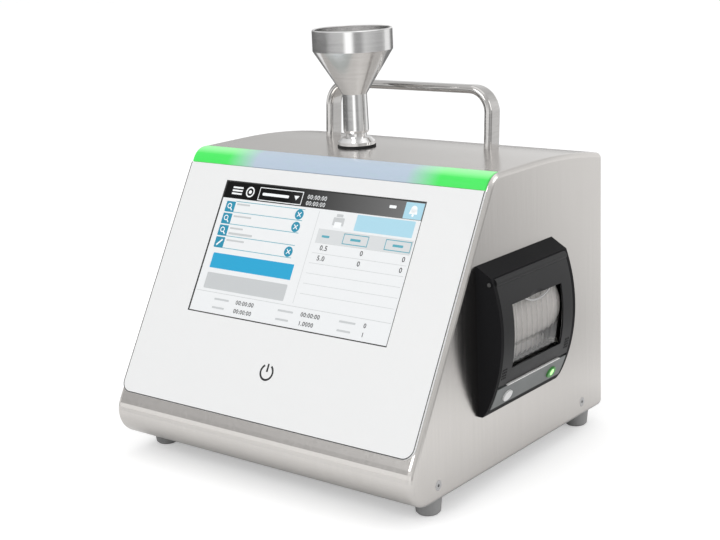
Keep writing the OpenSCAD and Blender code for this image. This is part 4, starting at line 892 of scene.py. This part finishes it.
# right half: printer sign and button over a table of counts for two sizes
countTable = {
    "printerSign": {"body": (14.8, 23.2, 25.6, 30.6, 0.5), "feed": (16.6, 21.4, 23.4, 25.2),
                    "sheet": (16.4, 21.6, 28.4, 32.0), "print": (17.2, 20.8, 29.6, 30.2)},
    "button": (31.7, 73.8, 22.3, 32.3, 0.6),
    "heading": (6, 76, 33.6, 42.1),
    "columns": {"sides": ((25.9, 44.5), (56.8, 75.3)), "top": 34.6, "low": 41.2, "line": 0.5,
                "in": 5.5, "words": (37.2, 38.7), "round": 0.4},
    "sizeWords": (9.8, 15.6, 37.4, 38.8, 0.4),
    "rules": {"left": 6, "right": 75.5, "rows": (42.2, 48.6, 55.0, 61.4, 67.8, 74.2), "line": 0.25},
    "divider": (2.6, 2.9, 23, 81),
    "sizes": {"x": 10.8, "texts": ("0.5", "5.0")},
    "counts": {"text": "0", "rights": (43.2, 73.6)},
    "rows": (45.2, 51.6),
    "height": 3.0,
}


def printTable(t, sheets):
    teal, panel, rule, dark = (sheets[k] for k in ("teal", "panel", "rule", "dark"))
    sign, columns, rules = t["printerSign"], t["columns"], t["rules"]
    panel.box(*sign["body"])
    panel.box(*sign["feed"])
    sheets["white"].box(*sign["sheet"])
    panel.box(*sign["print"])
    sheets["pale"].box(*t["button"])
    sheets["heading"].box(*t["heading"])
    for left, right in columns["sides"]:
        teal.outline(left, right, columns["top"], columns["low"], columns["line"])
        teal.box(left + columns["in"], right - columns["in"], *columns["words"], columns["round"])
    teal.box(*t["sizeWords"])
    for s in rules["rows"]:
        rule.box(rules["left"], rules["right"], s, s + rules["line"])
    rule.box(*t["divider"])
    for text, s in zip(t["sizes"]["texts"], t["rows"]):
        dark.figures(text, t["sizes"]["x"], s, t["height"])
    for x in t["counts"]["rights"]:
        for s in t["rows"]:
            dark.figures(t["counts"]["text"], x, s, t["height"], "RIGHT")


# columns of figures in two rows, with a word before each of them
footer = {
    "rule": (-76, 76, 82.6, 82.9),
    "rows": ({"s": 86.6, "wordTo": 6}, {"s": 92.0, "wordTo": 8}),
    "columns": ((-41, ("00:00:00", "00:00:00")), (11, ("00:00:00", "1.0000")), (58, ("0", "1"))),
    "height": 2.6,
    "word": {"from": 18, "half": 0.6, "round": 0.3},
}


def printFooter(f, sheets):
    word = f["word"]
    sheets["rule"].box(*f["rule"])
    for x, texts in f["columns"]:
        for row, text in zip(f["rows"], texts):
            sheets["dark"].figures(text, x, row["s"], f["height"])
            sheets["panel"].box(x - word["from"], x - row["wordTo"], row["s"] - word["half"],
                                row["s"] + word["half"], word["round"])


# one piece for each ink: its name, ink, lift, height and how much bolder its figures are
screenSheets = {
    "white": ("screen_white", inks["white"], 0.10),
    "blue": ("screen_blue", inks["blue"], 0.07),
    "pale": ("screen_pale", inks["paleBlue"], 0.07),
    "panel": ("screen_panel", inks["greyPanel"], 0.07),
    "rule": ("screen_rules", inks["rule"], 0.07),
    "dark": ("screen_figures", inks["dark"], 0.10, 0.03, 0.05),
    "teal": ("screen_fields", inks["teal"], 0.07),
    "start": ("screen_start", inks["start"], 0.07),
    "heading": ("screen_heading", inks["heading"], 0.07, 0.01),
}


def printScreen(looks):
    sheets = {name: Print(*values) for name, values in looks.items()}
    printTitleBar(titleBar, sheets)
    printFieldList(fieldList, sheets)
    printTable(countTable, sheets)
    printFooter(footer, sheets)
    for sheet in sheets.values():
        sheet.done()


printScreen(screenSheets)

# painted shade: a dark strip printed just inside the overlay's edge, standing in for the shade in
# the gap round it
gapShade = {"half": 113.4, "top": 0.2, "low": 154.68, "corner": 6.8, "line": 0.56, "thick": 0.02}


def makeGapShade(g):
    # the strip's dark ink is painted shade along both sides, the lower corners and the bottom edge
    gap = Print("overlay_gap_shade", inks["edge"], 0.0, g["thick"])
    inside = g["half"] - g["corner"]
    cornerTop = g["low"] - g["corner"]
    half = g["line"] / 2
    for side in (-1, 1):
        x0, x1 = sorted((side * (g["half"] - half), side * (g["half"] + half)))
        gap.box(x0, x1, g["top"], cornerTop)
        gap.arc(side * inside, cornerTop, g["corner"], g["line"], -90, 90 * side)
    gap.box(-inside, inside, g["low"] - half, g["low"] + half)
    gap.done()


makeGapShade(gapShade)
print("screen printed")


# printer: all of its curves turn about one line along Y
printerArc = {"x": 24.3 * mm, "y": 0.5 * mm, "z": 96.1 * mm, "door": 99.2 * mm}


def ontoArc(height, y, out=0.0):
    # frame on the door's surface: X out of it, Y along it, Z up it
    lean = math.asin((height * mm - printerArc["z"]) / printerArc["door"])
    reach = printerArc["door"] + out * mm
    place = Vector((printerArc["x"] + reach * math.cos(lean), printerArc["y"] + y * mm,
                    printerArc["z"] + reach * math.sin(lean)))
    return Matrix.Translation(place) @ Matrix.Rotation(-lean, 4, "Y")


# flutes follow the pitch of the painted shade lines in the clear pane
flutedPane = {"node": "door_window", "inner": 97.2, "wave": 0.09, "thick": 0.6, "points": 132,
              "steps": 18, "smooth": 40}


def makeFlutedPane(w):
    low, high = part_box(w["node"])
    centre = Vector((printerArc["x"], 0, printerArc["z"]))
    start = math.asin((low.z - centre.z) / (w["inner"] * mm))
    end = math.asin((high.z - centre.z) / (w["inner"] * mm))
    form = bmesh.new()
    row = []
    for i in range(w["points"] + 1):
        y = low.y + (high.y - low.y) * i / w["points"]
        turn = (y - printerArc["y"]) / mm / clearPane["pitch"] * 2 * math.pi
        reach = (w["inner"] + w["wave"] * (0.5 + 0.5 * math.cos(turn))) * mm
        place = (centre.x + reach * math.cos(start), y, centre.z + reach * math.sin(start))
        row.append(form.verts.new(place))
    edges = [form.edges.new(pair) for pair in zip(row, row[1:])]
    bmesh.ops.spin(form, geom=row + edges, cent=centre, axis=(0, -1, 0), steps=w["steps"],
                   angle=end - start)
    bmesh.ops.recalc_face_normals(form, faces=form.faces)
    bmesh.ops.solidify(form, geom=form.faces[:], thickness=w["thick"] * mm)
    pane = finishPiece(form, "fluted_pane", finishes["windowPane"], "printer_door", w["smooth"])
    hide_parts(w["node"])


makeFlutedPane(flutedPane)

# thumb scoop's rim, a shallow bow on the pane's upper edge; its opaque light grey is a painted
# highlight standing in for the glint along the clear lip
paneLip = {"height": 112.0, "rise": 27.3, "y": 1.0, "out": -0.3, "r": 30.0, "width": 0.9,
           "thick": 0.5, "start": -124, "sweep": 68, "steps": 24, "smooth": 40}


def makePaneLip(p):
    form = bmesh.new()
    halves = (-p["width"] / 2, p["width"] / 2)
    pair = [form.verts.new((0, (p["r"] + half) * mm, 0)) for half in halves]
    edge = form.edges.new(pair)
    bmesh.ops.rotate(form, verts=pair, cent=(0, 0, 0),
                     matrix=Matrix.Rotation(math.radians(p["start"]), 3, "X"))
    bmesh.ops.spin(form, geom=pair + [edge], cent=(0, 0, 0), axis=(1, 0, 0), steps=p["steps"],
                   angle=math.radians(p["sweep"]))
    bmesh.ops.recalc_face_normals(form, faces=form.faces)
    bmesh.ops.solidify(form, geom=form.faces[:], thickness=p["thick"] * mm)
    bmesh.ops.translate(form, verts=form.verts, vec=(0, 0, p["rise"] * mm))
    bmesh.ops.transform(form, matrix=ontoArc(p["height"], p["y"], p["out"]), verts=form.verts)
    lip = finishPiece(form, "pane_lip", finishes["scoopEdgeHighlight"], "printer_door", p["smooth"])


makePaneLip(paneLip)

# raised dots at both sides of the door
gripDots = {"rows": 4, "columns": 3, "pitch": 1.75, "low": 70.8, "outer": 36.3, "r": 0.66,
            "flat": 0.45, "smooth": 60}


def makeGripDots(g):
    form = bmesh.new()
    flat = Matrix.Diagonal((g["flat"], 1, 1, 1))
    for side in (-1, 1):
        for column in range(g["columns"]):
            for row in range(g["rows"]):
                y = side * (g["outer"] - column * g["pitch"])
                place = ontoArc(g["low"] + row * g["pitch"], y)
                bmesh.ops.create_icosphere(form, subdivisions=2, radius=g["r"] * mm,
                                           matrix=place @ flat)
    dots = finishPiece(form, "grip_dots", finishes["blackRubber"], "printer_door", g["smooth"])


makeGripDots(gripDots)

# free end of the paper, just out of the slot, torn off along the teeth
paperEdge = {"height": 65.3, "out": 0.3, "deep": 1.4, "wide": 57.0, "thick": 0.45, "teeth": 28,
             "tooth": 0.3}


def makePaperEdge(e):
    form = bmesh.new()
    bmesh.ops.create_grid(form, x_segments=1, y_segments=2 * e["teeth"], size=0.5)
    valleys = [v for v in form.verts if v.co.x > 0 and round(2 * v.co.y * e["teeth"]) % 2]
    bmesh.ops.scale(form, verts=form.verts, vec=(e["deep"] * mm, e["wide"] * mm, 1))
    bmesh.ops.translate(form, verts=valleys, vec=(-e["tooth"] * mm, 0, 0))
    bmesh.ops.solidify(form, geom=form.faces[:], thickness=e["thick"] * mm)
    bmesh.ops.transform(form, matrix=ontoArc(e["height"], 0, e["out"]), verts=form.verts)
    edge = finishPiece(form, "paper_edge", finishes["paper"], "cabinet")


makePaperEdge(paperEdge)

# green lamp on the feed key
keyLight = {"height": 57.6, "y": 24.3, "out": 1.1, "size": (0.5, 1.9, 2.3), "glow": 0.75,
            "lit": (0.50, 1.0, 0.36), "smooth": 60}


def makeKeyLight(k):
    form = bmesh.new()
    place = ontoArc(k["height"], k["y"], k["out"]) @ Matrix.Diagonal((*k["size"], 1))
    bmesh.ops.create_icosphere(form, subdivisions=3, radius=mm, matrix=place)
    lit = litInk("keyLightInk", k["lit"], k["glow"])
    finishPiece(form, "key_light", lit, "feed_key", k["smooth"])


makeKeyLight(keyLight)
print("printer dressed")

powerSign = {"x": -1.7, "s": 124.4, "r": 4.6, "line": 1.25, "gap": 64, "above": 0.6, "into": 0.2,
             "thick": 0.04}


def makePowerSign(p):
    sign = Print("power_sign", inks["symbol"], 0.0, p["thick"])
    sign.arc(p["x"], p["s"], p["r"], p["line"], 90 + p["gap"] / 2, 360 - p["gap"])
    sign.line(p["x"], p["s"] - p["r"] - p["above"], p["x"], p["s"] - p["into"], p["line"])
    sign.done()


makePowerSign(powerSign)
print("power sign printed")
